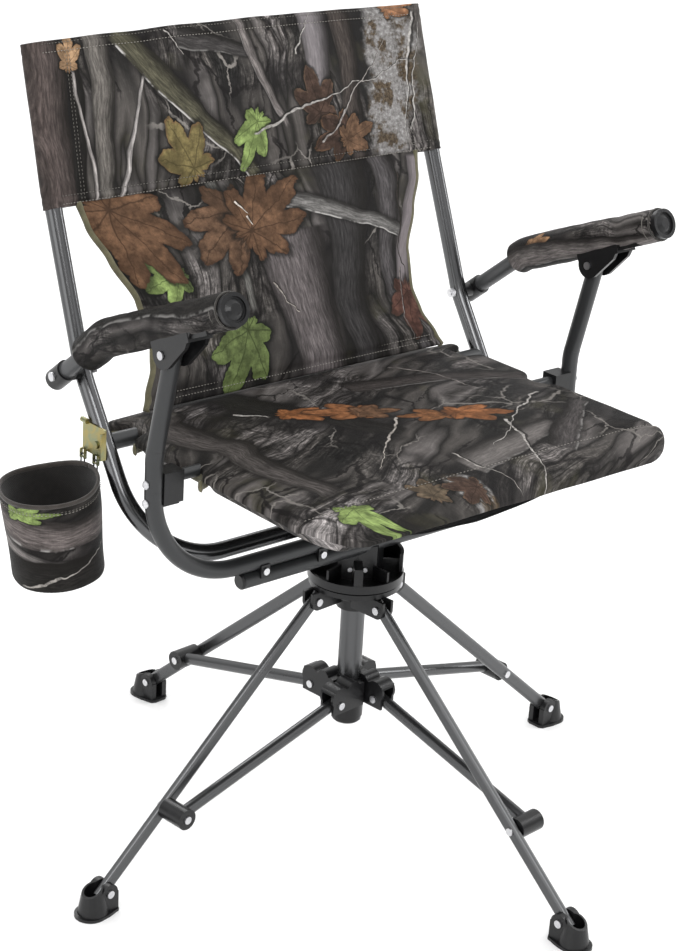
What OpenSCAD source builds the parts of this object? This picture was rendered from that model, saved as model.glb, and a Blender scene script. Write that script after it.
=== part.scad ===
// Blind swivel chair: a padded camouflage seat on a bent-tube frame that turns on a folding four-leg base.
// Millimetres, +Z up, the chair faces -Y, and the origin is on the swivel axis at floor level.

/* [Leg base] */
// Turn of the leg cross about the swivel axis, relative to the seat
base_angle = 4.5; // [0:0.5:20]
// Distance of a foot pin from the swivel axis
foot_pin_r = 356; // [340:1:370]
// Height of a foot pin above the floor
foot_pin_z = 25; // [23:1:27]
// Distance of a leg's upper pin from the swivel axis
leg_pin_r = 54; // [52:1:58]
// Height of a leg's upper pin above the floor
leg_pin_z = 285; // [283:1:290]
// Leg tube size across its flats
leg_thick = 9; // [8:0.5:10]
// Leg tube size along its long side
leg_wide = 16; // [14:0.5:18]
// Sideways offset of each leg's plane from the axis
leg_offset = 11; // [10:0.5:12]
// Place of the strut pivot along a leg, as a share of its length
strut_share = 0.72; // [0.65:0.01:0.75]
// Diameter of a strut tube
strut_d = 14; // [12:0.5:15]
// Sideways offset of each strut's plane from the axis, on the other side
strut_offset = 15; // [14.5:0.5:16]
// Distance of a strut's inner pin from the swivel axis
strut_pin_r = 37; // [36:1:40]
// Height of a strut's inner pin above the floor
strut_pin_z = 159; // [156:1:162]
// Diameter of the centre post
post_d = 28; // [26:0.5:28]

/* [Seat frame] */
// Diameter of the main frame tubes
tube_d = 19; // [18:0.5:20]
// Height of both frames' lower runs above the floor
run_z = 370; // [368:1:374]
// Half the distance between the two sides of the front frame
front_half_w = 304; // [298:1:310]
// Half the distance between the back uprights at arm height
rear_half_w = 277; // [274:1:280]
// How much closer to the middle each upright comes at its top
upright_lean_in = 8; // [0:1:10]
// Height of the top of the back uprights
upright_top_z = 885; // [860:1:900]
// Bend radius of the front frame's lower corners
front_corner_r = 112; // [90:1:120]
// Bend radius of the rear frame's lower corners
rear_corner_r = 100; // [80:1:110]
// Half the length of the straight cross tube
cross_half_len = 183; // [170:1:195]

/* [Seat and back] */
// Half the seat's width
seat_half_w = 261; // [250:1:263]
// Place of the seat's front edge in front of the swivel axis
seat_front = 243; // [235:1:260]
// Place of the seat's rear edge behind the swivel axis
seat_rear = 137; // [132:1:145]
// Height of the seat cushion's underside
seat_low_z = 475; // [474:1:476]
// Height of the seat cushion's top at its edge
seat_top_z = 506; // [505:1:512]
// Half the back panel's width at its narrowest
waist_half_w = 192; // [185:1:200]
// Height of the back sleeve's lower edge
sleeve_low_z = 722; // [720:1:726]

/* [Armrests] */
// Diameter of the padded arm cover
arm_cover_d = 38; // [36:1:40]
// Height of the arm's front end
arm_front_z = 711; // [700:1:720]

/* [Cup holder] */
// Radius of the cup holder's mouth
cup_r = 54; // [48:1:56]
// Height of the cup holder
cup_h = 108; // [100:1:118]

/* [Hidden] */

$fn = 48;
play = 0.05;          // radial running clearance of a pin in its bore
gap = 0.3;            // clearance between faces of pieces that move past each other
cut = 1;              // how far a cutting shape runs past what it cuts
pin_d = 5;
head_d = 9;
head_h = 1.8;
tube_wall = 1.2;
bend_swell = 0.3;     // how much thicker a bend is than its straights
bend_overlap = 1.5;   // how far a bend runs onto each straight

// Leg cross
leg_run = foot_pin_r - leg_pin_r;
leg_drop = leg_pin_z - foot_pin_z;
leg_len = sqrt(pow(leg_run, 2) + pow(leg_drop, 2));
leg_slope = atan2(leg_drop, leg_run);
joint_r = leg_pin_r + strut_share * leg_run;
joint_z = leg_pin_z - strut_share * leg_drop;
strut_run = joint_r - strut_pin_r;
strut_drop = strut_pin_z - joint_z;
strut_len = sqrt(pow(strut_run, 2) + pow(strut_drop, 2));
strut_slope = atan2(strut_drop, strut_run);
barrel_d = 24;
barrel_in = -leg_offset + leg_thick / 2 + 0.5;
barrel_out = 28;
foot_gap = leg_thick + 1;
foot_cheek_out = 12;
ear_in = leg_thick / 2 + 0.4;
ear_wall = 3.6;
box_gap = strut_d + 0.8;
box_w = box_gap + 6.4;
box_len = 49;
box_top = 181;
box_low = 149;

// Post and swivel
cap_low_z = 121;
cap_top_z = 128;
hub_low_z = 268;
hub_top_z = 297;
rim_top_z = 303;
race_top_z = 305;
turret_low_z = race_top_z + gap;
turret_deck_z = 311.5;
turret_d = 110;
bolt_d = 12;

// Seat frame lines: each is a list of points in Y and Z on one side of the chair
front_y = -19;
rear_y = 25;
front_side = [[-49, 654], [-19, 522], [front_y, run_z]];
upright_bend = [150, 558];
upright_knee = [213, sleeve_low_z];
upright_top = [213 + 0.317 * (upright_top_z - sleeve_low_z), upright_top_z];
knee_half_w = rear_half_w - 0.4 * upright_lean_in;
top_half_w = rear_half_w - upright_lean_in;
block_x = front_half_w - tube_d / 2;
clip_x = [77, 158];

// Direction of the turret's thick corner web
web_angle = -128;
cross_z = run_z - tube_d;

// Arms
arm_pivot = [149.5, 559];
arm_bend = [68, 624];
arm_front = [-136, arm_front_z];
arm_rear_dir = unit(arm_bend - arm_pivot);
arm_front_dir = unit(arm_front - arm_bend);
arm_rear_end = arm_pivot - 11 * arm_rear_dir;
arm_tilt = atan2(arm_front_dir.y, -arm_front_dir.x);
arm_screw = [-45.5, 641];
arm_bolt_d = 6;

// Seat
rear_bar_y = 105;
rear_bar_z = 490;
mid_bar_y = -18;
mid_bar_z = 494;
mid_bar_d = 13;
rail_d = 16;
rail_z = 482;
rail_half_w = 205;
rail_front_y = -221;
block_bolt_z = [492, 471];

// Cup holder
plate_x = -(rear_half_w + tube_d / 2 + 0.2);
hook_x = -291.5;
hook_z = 470.5;
hook_y = [102, 126];
hook_mid_y = (hook_y[0] + hook_y[1]) / 2;
cup_x = -343;
cup_rim_z = 453;
cup_tilt = 8;
cup_wall = 2.5;

// ---------------------------------------------------------------- helpers

function unit(v) = v / norm(v);

function sideways(v) = unit(cross(v, abs(v.z) < 0.9 * norm(v) ? [0, 0, 1] : [1, 0, 0]));

// Matrix that puts local X, Y and Z along three unit vectors, at a point
function placed(x_dir, y_dir, z_dir, at) = [
    [x_dir.x, y_dir.x, z_dir.x, at.x],
    [x_dir.y, y_dir.y, z_dir.y, at.y],
    [x_dir.z, y_dir.z, z_dir.z, at.z],
    [0, 0, 0, 1]
];

function turn_angle(a, b, c) = acos(unit(b - a) * unit(c - b));

// Length that a bend takes off the straight pieces on each side of a corner
function setback(points, bends, i) =
    i == 0 || i == len(points) - 1 ? 0
    : bends[i - 1] * tan(turn_angle(points[i - 1], points[i], points[i + 1]) / 2);

// The same path with both ends run out a little, for a bore
function longer(points, extra) = let (last = len(points) - 1) [
    for (i = [0:last])
        i == 0 ? points[0] + extra * unit(points[0] - points[1])
        : i == last ? points[last] + extra * unit(points[last] - points[last - 1])
        : points[i]
];

// Side path in Y and Z, put at a given X
function at_x(side, x) = [for (p = side) [x, p[0], p[1]]];

// A U path: down one side, across, and up the other
function u_path(side, half_w) =
    concat(at_x(side, -half_w), [for (i = [len(side) - 1:-1:0]) [half_w, side[i][0], side[i][1]]]);

// One side of the rear frame, from the top of the upright down to its corner, at positive X
function upright_path() = [
    [top_half_w, upright_top[0], upright_top[1]], [knee_half_w, upright_knee[0], upright_knee[1]],
    [rear_half_w, upright_bend[0], upright_bend[1]], [rear_half_w, rear_y, run_z]
];

function mirrored(path) = [for (p = path) [-p.x, p.y, p.z]];

function reversed(path) = [for (i = [len(path) - 1:-1:0]) path[i]];

module rod(a, b, d) {
    along = unit(b - a);
    x_dir = sideways(along);
    multmatrix(placed(x_dir, cross(along, x_dir), along, a))
        cylinder(d = d, h = norm(b - a));
}

// One bend of a bar. It is a little thicker than the bar and runs a short way onto each straight
module elbow(a, corner, c, bend, d) {
    into = unit(corner - a);
    normal = unit(cross(into, c - corner));
    angle = turn_angle(a, corner, c);
    inward = cross(normal, into);
    centre = corner - into * bend * tan(angle / 2) + inward * bend;
    onto = bend_overlap / bend * 180 / PI;
    multmatrix(placed(-inward, into, normal, centre))
        rotate([0, 0, -onto])
            rotate_extrude(angle = angle + 2 * onto)
                translate([bend, 0])
                    circle(d = d + bend_swell);
}

// Direction square to the plane of the bend at a point of a path
function bend_normal(points, i) =
    unit(cross(points[i] - points[i - 1], points[i + 1] - points[i]));

// Round bar along a path with rounded corners
module bent_rod(points, bends, d) {
    last = len(points) - 1;
    for (i = [0:last - 1]) {
        along = unit(points[i + 1] - points[i]);
        start = points[i] + along * setback(points, bends, i);
        end = points[i + 1] - along * setback(points, bends, i + 1);
        side = bend_normal(points, max(i, 1));
        multmatrix(placed(side, cross(along, side), along, start))
            cylinder(d = d, h = norm(end - start));
    }
    for (i = [1:last - 1])
        elbow(points[i - 1], points[i], points[i + 1], bends[i - 1], d);
}

module bent_tube(points, bends, d, wall) {
    difference() {
        bent_rod(points, bends, d);
        bent_rod(longer(points, cut), bends, d - 2 * wall);
    }
}

module tube(a, b, d, wall) {
    along = unit(b - a);
    difference() {
        rod(a, b, d);
        rod(a - along * cut, b + along * cut, d - 2 * wall);
    }
}

module both_sides() {
    children();
    mirror([1, 0, 0])
        children();
}

// Local frame of one leg: X points out along the leg, Y is tangential, Z is up
module on_leg(k) {
    rotate([0, 0, base_angle + 90 * k])
        children();
}

// Pin along local Y, between two Y values, with a flat round head past each end
module headed_pin(x, z, y_from, y_to, d = pin_d) {
    rod([x, y_from - head_h, z], [x, y_to + head_h, z], d);
    rod([x, y_from - head_h, z], [x, y_from, z], head_d);
    rod([x, y_to, z], [x, y_to + head_h, z], head_d);
}

// ---------------------------------------------------------------- base

module centre_post() {
    color("dimgray")
        tube([0, 0, cap_top_z], [0, 0, hub_top_z - 4], post_d, 2);
}

module post_end_cap() {
    color([0.07, 0.07, 0.07]) {
        translate([0, 0, cap_low_z])
            cylinder(d1 = 30, d2 = 34, h = 2);
        translate([0, 0, cap_low_z + 2])
            cylinder(d = 34, h = cap_top_z - cap_low_z - 2);
        translate([0, 0, cap_top_z])
            cylinder(d = post_d - 4.2, h = 14);
    }
}

// One ear of a leg clevis, in the leg's own frame
module hub_ear(y_low) {
    ear_r = 10;
    translate([0, y_low, 0]) {
        translate([leg_pin_r, ear_wall, leg_pin_z])
            rotate([90, 0, 0])
                cylinder(r = ear_r, h = ear_wall);
        translate([14, 0, leg_pin_z - ear_r])
            cube([leg_pin_r - 14, ear_wall, hub_top_z - leg_pin_z + ear_r]);
        translate([leg_pin_r - 1, 0, leg_pin_z])
            cube([ear_r + 1, ear_wall, hub_top_z - leg_pin_z]);
    }
}

module upper_hub() {
    color([0.07, 0.07, 0.07])
        difference() {
            union() {
                translate([0, 0, hub_low_z])
                    cylinder(d = 40, h = hub_top_z - hub_low_z);
                translate([0, 0, hub_low_z + 12])
                    cylinder(d1 = 42, d2 = 62, h = hub_top_z - hub_low_z - 12);
                translate([0, 0, hub_top_z])
                    cylinder(d = 106, h = rim_top_z - hub_top_z);
                for (k = [0:3])
                    on_leg(k) {
                        hub_ear(-leg_offset + ear_in);
                        hub_ear(-leg_offset - ear_in - ear_wall);
                    }
            }
            translate([0, 0, hub_low_z - cut])
                cylinder(d = post_d, h = hub_top_z - 4 - hub_low_z + cut);
            cylinder(d = bolt_d, h = rim_top_z + cut);
            for (k = [0:3])
                on_leg(k) {
                    rod([leg_pin_r, -leg_offset - 20, leg_pin_z],
                        [leg_pin_r, -leg_offset + 20, leg_pin_z], pin_d);
                    translate([22, -leg_offset - ear_in, leg_pin_z - 30])
                        cube([60, 2 * ear_in, 30 + hub_top_z - leg_pin_z]);
                }
        }
}

module upper_hub_pins() {
    color("silver")
        for (k = [0:3])
            on_leg(k)
                headed_pin(leg_pin_r, leg_pin_z,
                    -leg_offset - ear_in - ear_wall, -leg_offset + ear_in + ear_wall);
}

module swivel_race() {
    color([0.25, 0.25, 0.25])
        translate([0, 0, rim_top_z])
            difference() {
                cylinder(d = 92, h = race_top_z - rim_top_z);
                translate([0, 0, -cut])
                    cylinder(d = 60, h = 4);
            }
}

module swivel_bolt() {
    color("silver") {
        translate([0, 0, hub_top_z - 14])
            cylinder(d = bolt_d, h = 52);
        translate([0, 0, hub_top_z - 14])
            cylinder(d = 19, h = 8, $fn = 6);
        translate([0, 0, hub_top_z + 32])
            cylinder(d = 19, h = 7, $fn = 6);
    }
}

// ---------------------------------------------------------------- sliding hub and struts

module lower_hub() {
    humps = [[17, box_top - 6, 9], [38, box_top - 12, 13]];
    color([0.07, 0.07, 0.07])
        difference() {
            union() {
                translate([0, 0, cap_top_z + gap])
                    cylinder(d = 37, h = box_top - 4 - cap_top_z - gap);
                for (k = [0:3])
                    on_leg(k) {
                        translate([0, strut_offset - box_w / 2, box_low])
                            cube([box_len, box_w, box_top - 3 - box_low]);
                        for (h = humps)
                            rod([h[0], strut_offset - box_w / 2, h[1]],
                                [h[0], strut_offset + box_w / 2, h[1]], 2 * h[2]);
                    }
            }
            translate([0, 0, cap_top_z])
                cylinder(d = post_d + 4 * play, h = 80);
            for (k = [0:3])
                on_leg(k) {
                    translate([23, strut_offset - box_gap / 2, box_low - 12])
                        cube([60, box_gap, box_top - box_low + 5]);
                    rod([strut_pin_r, strut_offset - 20, strut_pin_z],
                        [strut_pin_r, strut_offset + 20, strut_pin_z], pin_d);
                }
        }
}

module lower_hub_pins() {
    color("silver")
        for (k = [0:3])
            on_leg(k)
                headed_pin(strut_pin_r, strut_pin_z,
                    strut_offset - box_w / 2, strut_offset + box_w / 2);
}

module strut(k) {
    inner_end = 8;
    outer_end = barrel_d / 2 - 5;
    color([0.3, 0.31, 0.32])
        on_leg(k)
            translate([strut_pin_r, strut_offset, strut_pin_z])
                rotate([0, strut_slope, 0])
                    difference() {
                        tube([-inner_end, 0, 0], [strut_len - outer_end, 0, 0], strut_d, tube_wall);
                        rod([0, -strut_d, 0], [0, strut_d, 0], pin_d + 2 * play);
                    }
}

module strut_barrel(k) {
    socket_floor = barrel_d / 2 - 5;
    color([0.07, 0.07, 0.07])
        on_leg(k)
            difference() {
                rod([joint_r, barrel_in, joint_z], [joint_r, barrel_out, joint_z], barrel_d);
                translate([joint_r, strut_offset, joint_z])
                    rotate([0, strut_slope, 0])
                        rod([-barrel_d, 0, 0], [-socket_floor, 0, 0], strut_d);
                rod([joint_r, barrel_in - cut, joint_z], [joint_r, barrel_out + cut, joint_z], pin_d);
            }
}

module strut_screw(k) {
    color("silver")
        on_leg(k) {
            rod([joint_r, barrel_in, joint_z], [joint_r, barrel_out + head_h, joint_z], pin_d);
            rod([joint_r, barrel_out, joint_z], [joint_r, barrel_out + head_h, joint_z], head_d);
        }
}

// ---------------------------------------------------------------- legs and feet

module leg_section(thick, wide) {
    flat = wide - thick;
    square([flat, thick], center = true);
    for (side = [-1, 1])
        translate([side * flat / 2, 0])
            circle(d = thick);
}

module leg(k) {
    top_end = 8;
    foot_end = 9;
    color([0.3, 0.31, 0.32])
        on_leg(k)
            difference() {
                translate([leg_pin_r, -leg_offset, leg_pin_z])
                    rotate([0, 90 + leg_slope, 0])
                        translate([0, 0, -top_end])
                            linear_extrude(leg_len + top_end + foot_end)
                                difference() {
                                    leg_section(leg_thick, leg_wide);
                                    leg_section(leg_thick - 2 * tube_wall, leg_wide - 2 * tube_wall);
                                }
                rod([leg_pin_r, -40, leg_pin_z], [leg_pin_r, 40, leg_pin_z], pin_d + 2 * play);
                rod([joint_r, -40, joint_z], [joint_r, 40, joint_z], pin_d);
                rod([foot_pin_r, -40, foot_pin_z], [foot_pin_r, 40, foot_pin_z], pin_d);
            }
}

// The pin that carries the foot, and the rivet that carries the strut's barrel
module leg_rivets(k) {
    far_face = -leg_offset - leg_thick / 2;
    near_face = -leg_offset + leg_thick / 2;
    color("silver")
        on_leg(k) {
            headed_pin(foot_pin_r, foot_pin_z,
                -leg_offset - foot_cheek_out - gap, -leg_offset + foot_cheek_out + gap);
            rod([joint_r, far_face - head_h, joint_z], [joint_r, near_face, joint_z], pin_d);
            rod([joint_r, far_face - head_h, joint_z], [joint_r, far_face, joint_z], head_d);
        }
}

// Shoe outline seen from above: round outer end, narrower inner end
module sole_outline(grow) {
    translate([17, 0])
        circle(r = 17 + grow);
    polygon([
        [17, -17 - grow], [17, 17 + grow], [4, 16 + grow], [-11 - grow, 12 + grow],
        [-14 - grow, 8], [-14 - grow, -8], [-11 - grow, -12 - grow], [4, -16 - grow]
    ]);
}

module foot(k) {
    sole_h = 3.5;
    wall_h = 36;
    boss_r = 11;
    color([0.07, 0.07, 0.07])
        on_leg(k)
            translate([foot_pin_r, -leg_offset, 0])
                difference() {
                    union() {
                        linear_extrude(sole_h)
                            sole_outline(1);
                        intersection() {
                            union() {
                                translate([14, 0, sole_h])
                                    cylinder(r1 = 17, r2 = 11, h = wall_h - sole_h);
                                translate([-12, -foot_cheek_out, sole_h])
                                    cube([26, 2 * foot_cheek_out, foot_pin_z - sole_h]);
                                rod([0, -foot_cheek_out, foot_pin_z], [0, foot_cheek_out, foot_pin_z],
                                    2 * boss_r);
                            }
                            // Rim that falls towards the outer end
                            rotate([90, 0, 0])
                                linear_extrude(60, center = true)
                                    polygon([[-20, 0], [40, 0], [40, 19], [4, wall_h], [-20, wall_h + 2]]);
                        }
                    }
                    translate([-20, -foot_gap / 2, sole_h + 1])
                        cube([36, foot_gap, 60]);
                    translate([14, 0, sole_h + 1])
                        cylinder(r1 = 13.5, r2 = 8, h = wall_h);
                    rod([0, -30, foot_pin_z], [0, 30, foot_pin_z], pin_d + 2 * play);
                }
}

// ---------------------------------------------------------------- turret

module turret_blank() {
    translate([0, 0, turret_low_z])
        cylinder(d = turret_d, h = turret_deck_z - turret_low_z);
    // Low rim, with a raised wall round the far side
    difference() {
        translate([0, 0, turret_deck_z])
            cylinder(d = turret_d, h = 3.5);
        translate([0, 0, turret_deck_z - cut])
            cylinder(d = turret_d - 6, h = 10);
    }
    rotate([0, 0, web_angle + 75])
        rotate_extrude(angle = 210)
            translate([turret_d / 2 - 5, turret_deck_z])
                square([4, 27]);
    rotate([0, 0, web_angle])
        translate([0, 0, turret_deck_z])
            cylinder(r = 31, h = 39.5, $fn = 8);
    translate([-24, -5, turret_deck_z])
        cube([48, 46, run_z - turret_deck_z]);
    for (turn = [40, 90, 135, 180, 225, 270, 320])
        rotate([0, 0, web_angle + turn])
            translate([20, -1.5, turret_deck_z])
                cube([turret_d / 2 - 22, 3, 16]);
    rotate([0, 0, web_angle])
        translate([20, -5, turret_deck_z])
            cube([turret_d / 2 - 20.5, 10, 24]);
}

module turret() {
    color([0.07, 0.07, 0.07])
        difference() {
            turret_blank();
            cylinder(d = bolt_d + 2 * play, h = 500);
            translate([0, 0, turret_deck_z + 4])
                cylinder(d = 24, h = 22);
            frame_envelope();
            clamp_bolts(6.4);
            turret_face_screws();
        }
}

// Space that the frame tubes take up at the turret
module frame_envelope() {
    for (line = [[front_y, run_z], [front_y, cross_z], [rear_y, run_z]])
        rod([-80, line[0], line[1]], [80, line[0], line[1]], tube_d);
    translate([-80, front_y - tube_d / 2, cross_z])
        cube([160, tube_d, tube_d + 20]);
}

module turret_clamp() {
    top = run_z + tube_d / 2 + 5;
    color([0.07, 0.07, 0.07])
        difference() {
            union() {
                translate([-22, front_y - 13, run_z + 0.2])
                    cube([44, rear_y - front_y + 28, top - run_z - 0.2]);
                translate([-22, front_y - 13, cross_z + 8])
                    cube([44, 22, run_z - cross_z - 7]);
            }
            for (line = [[front_y, run_z], [front_y, cross_z], [rear_y, run_z]])
                rod([-80, line[0], line[1]], [80, line[0], line[1]], tube_d);
            rotate([0, 0, web_angle])
                translate([0, 0, turret_deck_z])
                    cylinder(r = 31.2, h = 39.7, $fn = 8);
            translate([-25, -5.2, 300])
                cube([50, 60, run_z + 0.1 - 300]);
            clamp_bolts(6.4);
        }
}

module clamp_bolts(d) {
    for (x = [-15, 15])
        rod([x, 3.5, run_z - 22], [x, 3.5, run_z + 14.5], d);
}

module turret_face_screws() {
    rotate([0, 0, web_angle])
        for (y = [-8.5, 8.5])
            rod([22, y, turret_deck_z + 13], [28.7 + 1.6, y, turret_deck_z + 13], 5.4);
}

module turret_screws() {
    color("silver") {
        clamp_bolts(6);
        for (x = [-15, 15])
            translate([x, 3.5, run_z + 14.5])
                cylinder(d = 11, h = 4, $fn = 6);
        turret_face_screws();
    }
}

// ---------------------------------------------------------------- frames

module cross_tube() {
    color([0.18, 0.18, 0.18])
        difference() {
            tube([-cross_half_len, front_y, cross_z], [cross_half_len, front_y, cross_z], tube_d,
                tube_wall);
            clip_screw_holes();
        }
}

module cross_tube_plugs() {
    plug_r = tube_d / 2;
    color([0.1, 0.1, 0.1])
        both_sides() {
            rod([cross_half_len - 10, front_y, cross_z], [cross_half_len, front_y, cross_z],
                tube_d - 2 * tube_wall);
            rod([cross_half_len, front_y, cross_z], [cross_half_len + 1.5, front_y, cross_z], tube_d);
            translate([cross_half_len + 1.5, front_y, cross_z])
                rotate([0, 90, 0])
                    cylinder(r1 = plug_r, r2 = plug_r - 2, h = 2);
        }
}

// Small saddles that sit in the crease between the front run and the cross tube
module frame_clips() {
    color([0.2, 0.2, 0.2])
        both_sides()
            for (x = clip_x)
                difference() {
                    translate([x - 6, front_y - tube_d / 2 - 1.5, cross_z + 2])
                        cube([12, 8, tube_d - 4]);
                    for (z = [run_z, cross_z])
                        rod([x - 10, front_y, z], [x + 10, front_y, z], tube_d);
                    rod([x, front_y - 30, run_z - tube_d / 2], [x, front_y, run_z - tube_d / 2], 4);
                }
}

module frame_clip_screws() {
    crease_z = run_z - tube_d / 2;
    front = front_y - tube_d / 2 - 1.5;
    color("silver")
        both_sides()
            for (x = clip_x) {
                rod([x, front - 2, crease_z], [x, front_y - 4.5, crease_z], 4);
                rod([x, front - 2, crease_z], [x, front, crease_z], 8);
            }
}

module front_frame() {
    color([0.17, 0.17, 0.17])
        difference() {
            bent_tube(u_path(front_side, front_half_w), [70, front_corner_r, front_corner_r, 70],
                tube_d, tube_wall);
            for (z = block_bolt_z)
                rod([-400, block_bolt_y(z), z], [400, block_bolt_y(z), z], 5.2);
            clip_screw_holes();
            rod([-400, arm_screw[0], arm_screw[1]], [400, arm_screw[0], arm_screw[1]], pin_d + 0.4);
        }
}

module clip_screw_holes() {
    both_sides()
        for (x = clip_x)
            rod([x, front_y - 30, run_z - tube_d / 2], [x, front_y - 4, run_z - tube_d / 2], 4.2);
}

module rear_frame() {
    color([0.36, 0.37, 0.38])
        difference() {
            bent_tube(concat(mirrored(upright_path()), reversed(upright_path())),
                [150, 120, rear_corner_r, rear_corner_r, 120, 150], tube_d, tube_wall);
            arm_bolt_line(arm_bolt_d + 0.4);
            rod([-400, rear_bar_y, rear_bar_z], [400, rear_bar_y, rear_bar_z], 5.2);
        }
}

// ---------------------------------------------------------------- seat structure

// Place of the front frame's side tube at a given height below its upper bend
function block_bolt_y(z) = front_y + (front_side[1][0] - front_y) * (z - run_z) / (front_side[1][1] - run_z);

module seat_blocks() {
    wide = 22;
    low = 466;
    top = 504;
    color([0.08, 0.08, 0.08])
        both_sides()
            difference() {
                union() {
                    translate([block_x - wide, mid_bar_y - 11, low + 3])
                        cube([wide + 3, 22, top - low - 3]);
                    translate([block_x - wide + 3, mid_bar_y - 8, low])
                        cube([wide, 16, 4]);
                }
                bent_rod(u_path(front_side, front_half_w), [70, front_corner_r, front_corner_r, 70], tube_d + 0.2);
                rod([200, mid_bar_y, mid_bar_z], [block_x - 16, mid_bar_y, mid_bar_z], mid_bar_d);
                for (z = block_bolt_z)
                    rod([block_x - 15, block_bolt_y(z), z], [400, block_bolt_y(z), z], 5);
            }
}

// The straight side of the front frame as a solid bar, at positive X
module front_side_rod() {
    path = at_x(front_side, front_half_w);
    rod(path[1], path[2], tube_d);
    rod(path[0], path[1], tube_d);
}

module seat_block_bolts() {
    face = front_half_w + tube_d / 2;
    color("silver")
        both_sides()
            for (z = block_bolt_z) {
                y = block_bolt_y(z);
                rod([block_x - 15, y, z], [face + 1, y, z], 5);
                rod([face, y, z], [face + 1.2, y, z], 9.5);
                translate([face + 1.2, y, z])
                    rotate([0, 90, 0])
                        cylinder(d1 = 9.5, d2 = 4, h = 2.6);
            }
}

module seat_rear_bar() {
    half = rear_half_w - 5;
    color([0.12, 0.12, 0.12])
        difference() {
            tube([-half, rear_bar_y, rear_bar_z], [half, rear_bar_y, rear_bar_z], tube_d, tube_wall);
            both_sides()
                bent_rod(upright_path(), [150, 120], tube_d);
        }
}

module seat_mid_bar() {
    half = block_x - 16;
    color([0.12, 0.12, 0.12])
        tube([-half, mid_bar_y, mid_bar_z], [half, mid_bar_y, mid_bar_z], mid_bar_d, tube_wall);
}

module rail_path(d) {
    bent_rod([
        [-rail_half_w, rear_bar_y, rail_z], [-rail_half_w, rail_front_y, rail_z],
        [rail_half_w, rail_front_y, rail_z], [rail_half_w, rear_bar_y, rail_z]
    ], [50, 50], d);
}

module seat_rails() {
    color([0.12, 0.12, 0.12])
        difference() {
            rail_path(rail_d);
            rail_path(rail_d - 2 * tube_wall);
            rod([-400, rear_bar_y, rear_bar_z], [400, rear_bar_y, rear_bar_z], tube_d);
            rod([-400, mid_bar_y, mid_bar_z], [400, mid_bar_y, mid_bar_z], mid_bar_d);
        }
}

module seat_outline() {
    front_r = 60;
    rear_r = 12;
    difference() {
        union() {
            translate([-seat_half_w, -seat_front + front_r])
                square([2 * seat_half_w, seat_front + seat_rear - front_r - rear_r]);
            translate([-seat_half_w + front_r, -seat_front])
                square([2 * (seat_half_w - front_r), front_r + cut]);
            translate([-seat_half_w + rear_r, seat_rear - rear_r - cut])
                square([2 * (seat_half_w - rear_r), rear_r + cut]);
            for (side = [-1, 1]) {
                translate([side * (seat_half_w - front_r), -seat_front + front_r])
                    circle(r = front_r);
                translate([side * (seat_half_w - rear_r), seat_rear - rear_r])
                    circle(r = rear_r);
            }
        }
        // Bound cut-outs where the two bars come out of the cover
        for (side = [-1, 1]) {
            translate([side * seat_half_w, mid_bar_y])
                square([32, 44], center = true);
            translate([side * seat_half_w, rear_bar_y - 6])
                square([44, 40], center = true);
        }
    }
}

module seat_cushion() {
    color([0.25, 0.22, 0.18])
        difference() {
            translate([0, 0, seat_low_z])
                linear_extrude(seat_top_z - seat_low_z)
                    seat_outline();
            rail_path(rail_d + gap);
            rod([-400, rear_bar_y, rear_bar_z], [400, rear_bar_y, rear_bar_z], tube_d + gap);
            rod([-400, mid_bar_y, mid_bar_z], [400, mid_bar_y, mid_bar_z], mid_bar_d + gap);
            rod([-400, rail_front_y, rail_z - 6], [400, rail_front_y, rail_z - 6], rail_d - 2);
            for (side = [-1, 1])
                rod([side * rail_half_w, -400, rail_z - 6], [side * rail_half_w, 400, rail_z - 6],
                    rail_d - 2);
        }
}

// Points on an arc in 2D
function arc_points(centre, r, from, to, steps = 8) = [
    for (i = [0:steps]) let (turn = from + (to - from) * i / steps)
        centre + r * [cos(turn), sin(turn)]
];

// Black webbing that hangs like a trough under the cushion, between the side rails
module seat_sling() {
    corner_r = 30;
    skin = 3;
    half_w = 203;
    low_z = 437;
    top_z = rail_z - rail_d / 2 - 0.1;
    left = [-half_w + corner_r, low_z + corner_r];
    right = [half_w - corner_r, low_z + corner_r];
    outline = concat(
        [[-half_w, top_z]], arc_points(left, corner_r, 180, 270), arc_points(right, corner_r, 270, 360),
        [[half_w, top_z], [half_w - skin, top_z]], arc_points(right, corner_r - skin, 360, 270),
        arc_points(left, corner_r - skin, 270, 180), [[-half_w + skin, top_z]]
    );
    color([0.06, 0.06, 0.06])
        translate([0, 20, 0])
            rotate([90, 0, 0])
                linear_extrude(228)
                    polygon(outline);
}

// ---------------------------------------------------------------- back

// Half the back panel's width at a share of its height: a smooth waist between two wider ends
function panel_half(share) = waist_half_w + 46 * pow(max(0, share - 0.40) / 0.60, 1.7)
    + 30 * pow(max(0, 0.40 - share) / 0.40, 1.6);

// Slab of the back panel between two heights, on the straight line from p to q
module panel_slab(p, q, z_from, z_to) {
    thick = 13;
    ahead = 3;
    steps = 14;
    lean = atan2(q[0] - p[0], q[1] - p[1]);
    start = [p[0] + (z_from - p[1]) * tan(lean), z_from];
    height = (z_to - z_from) / cos(lean);
    side = [for (i = [0:steps]) [panel_half(i / steps), height * i / steps]];
    outline = concat(side, [for (i = [steps:-1:0]) [-side[i][0], side[i][1]]]);
    translate([0, start[0], start[1]])
        rotate([90 - lean, 0, 0])
            translate([0, 0, ahead - thick / 2])
                linear_extrude(thick)
                    polygon(outline);
}

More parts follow.
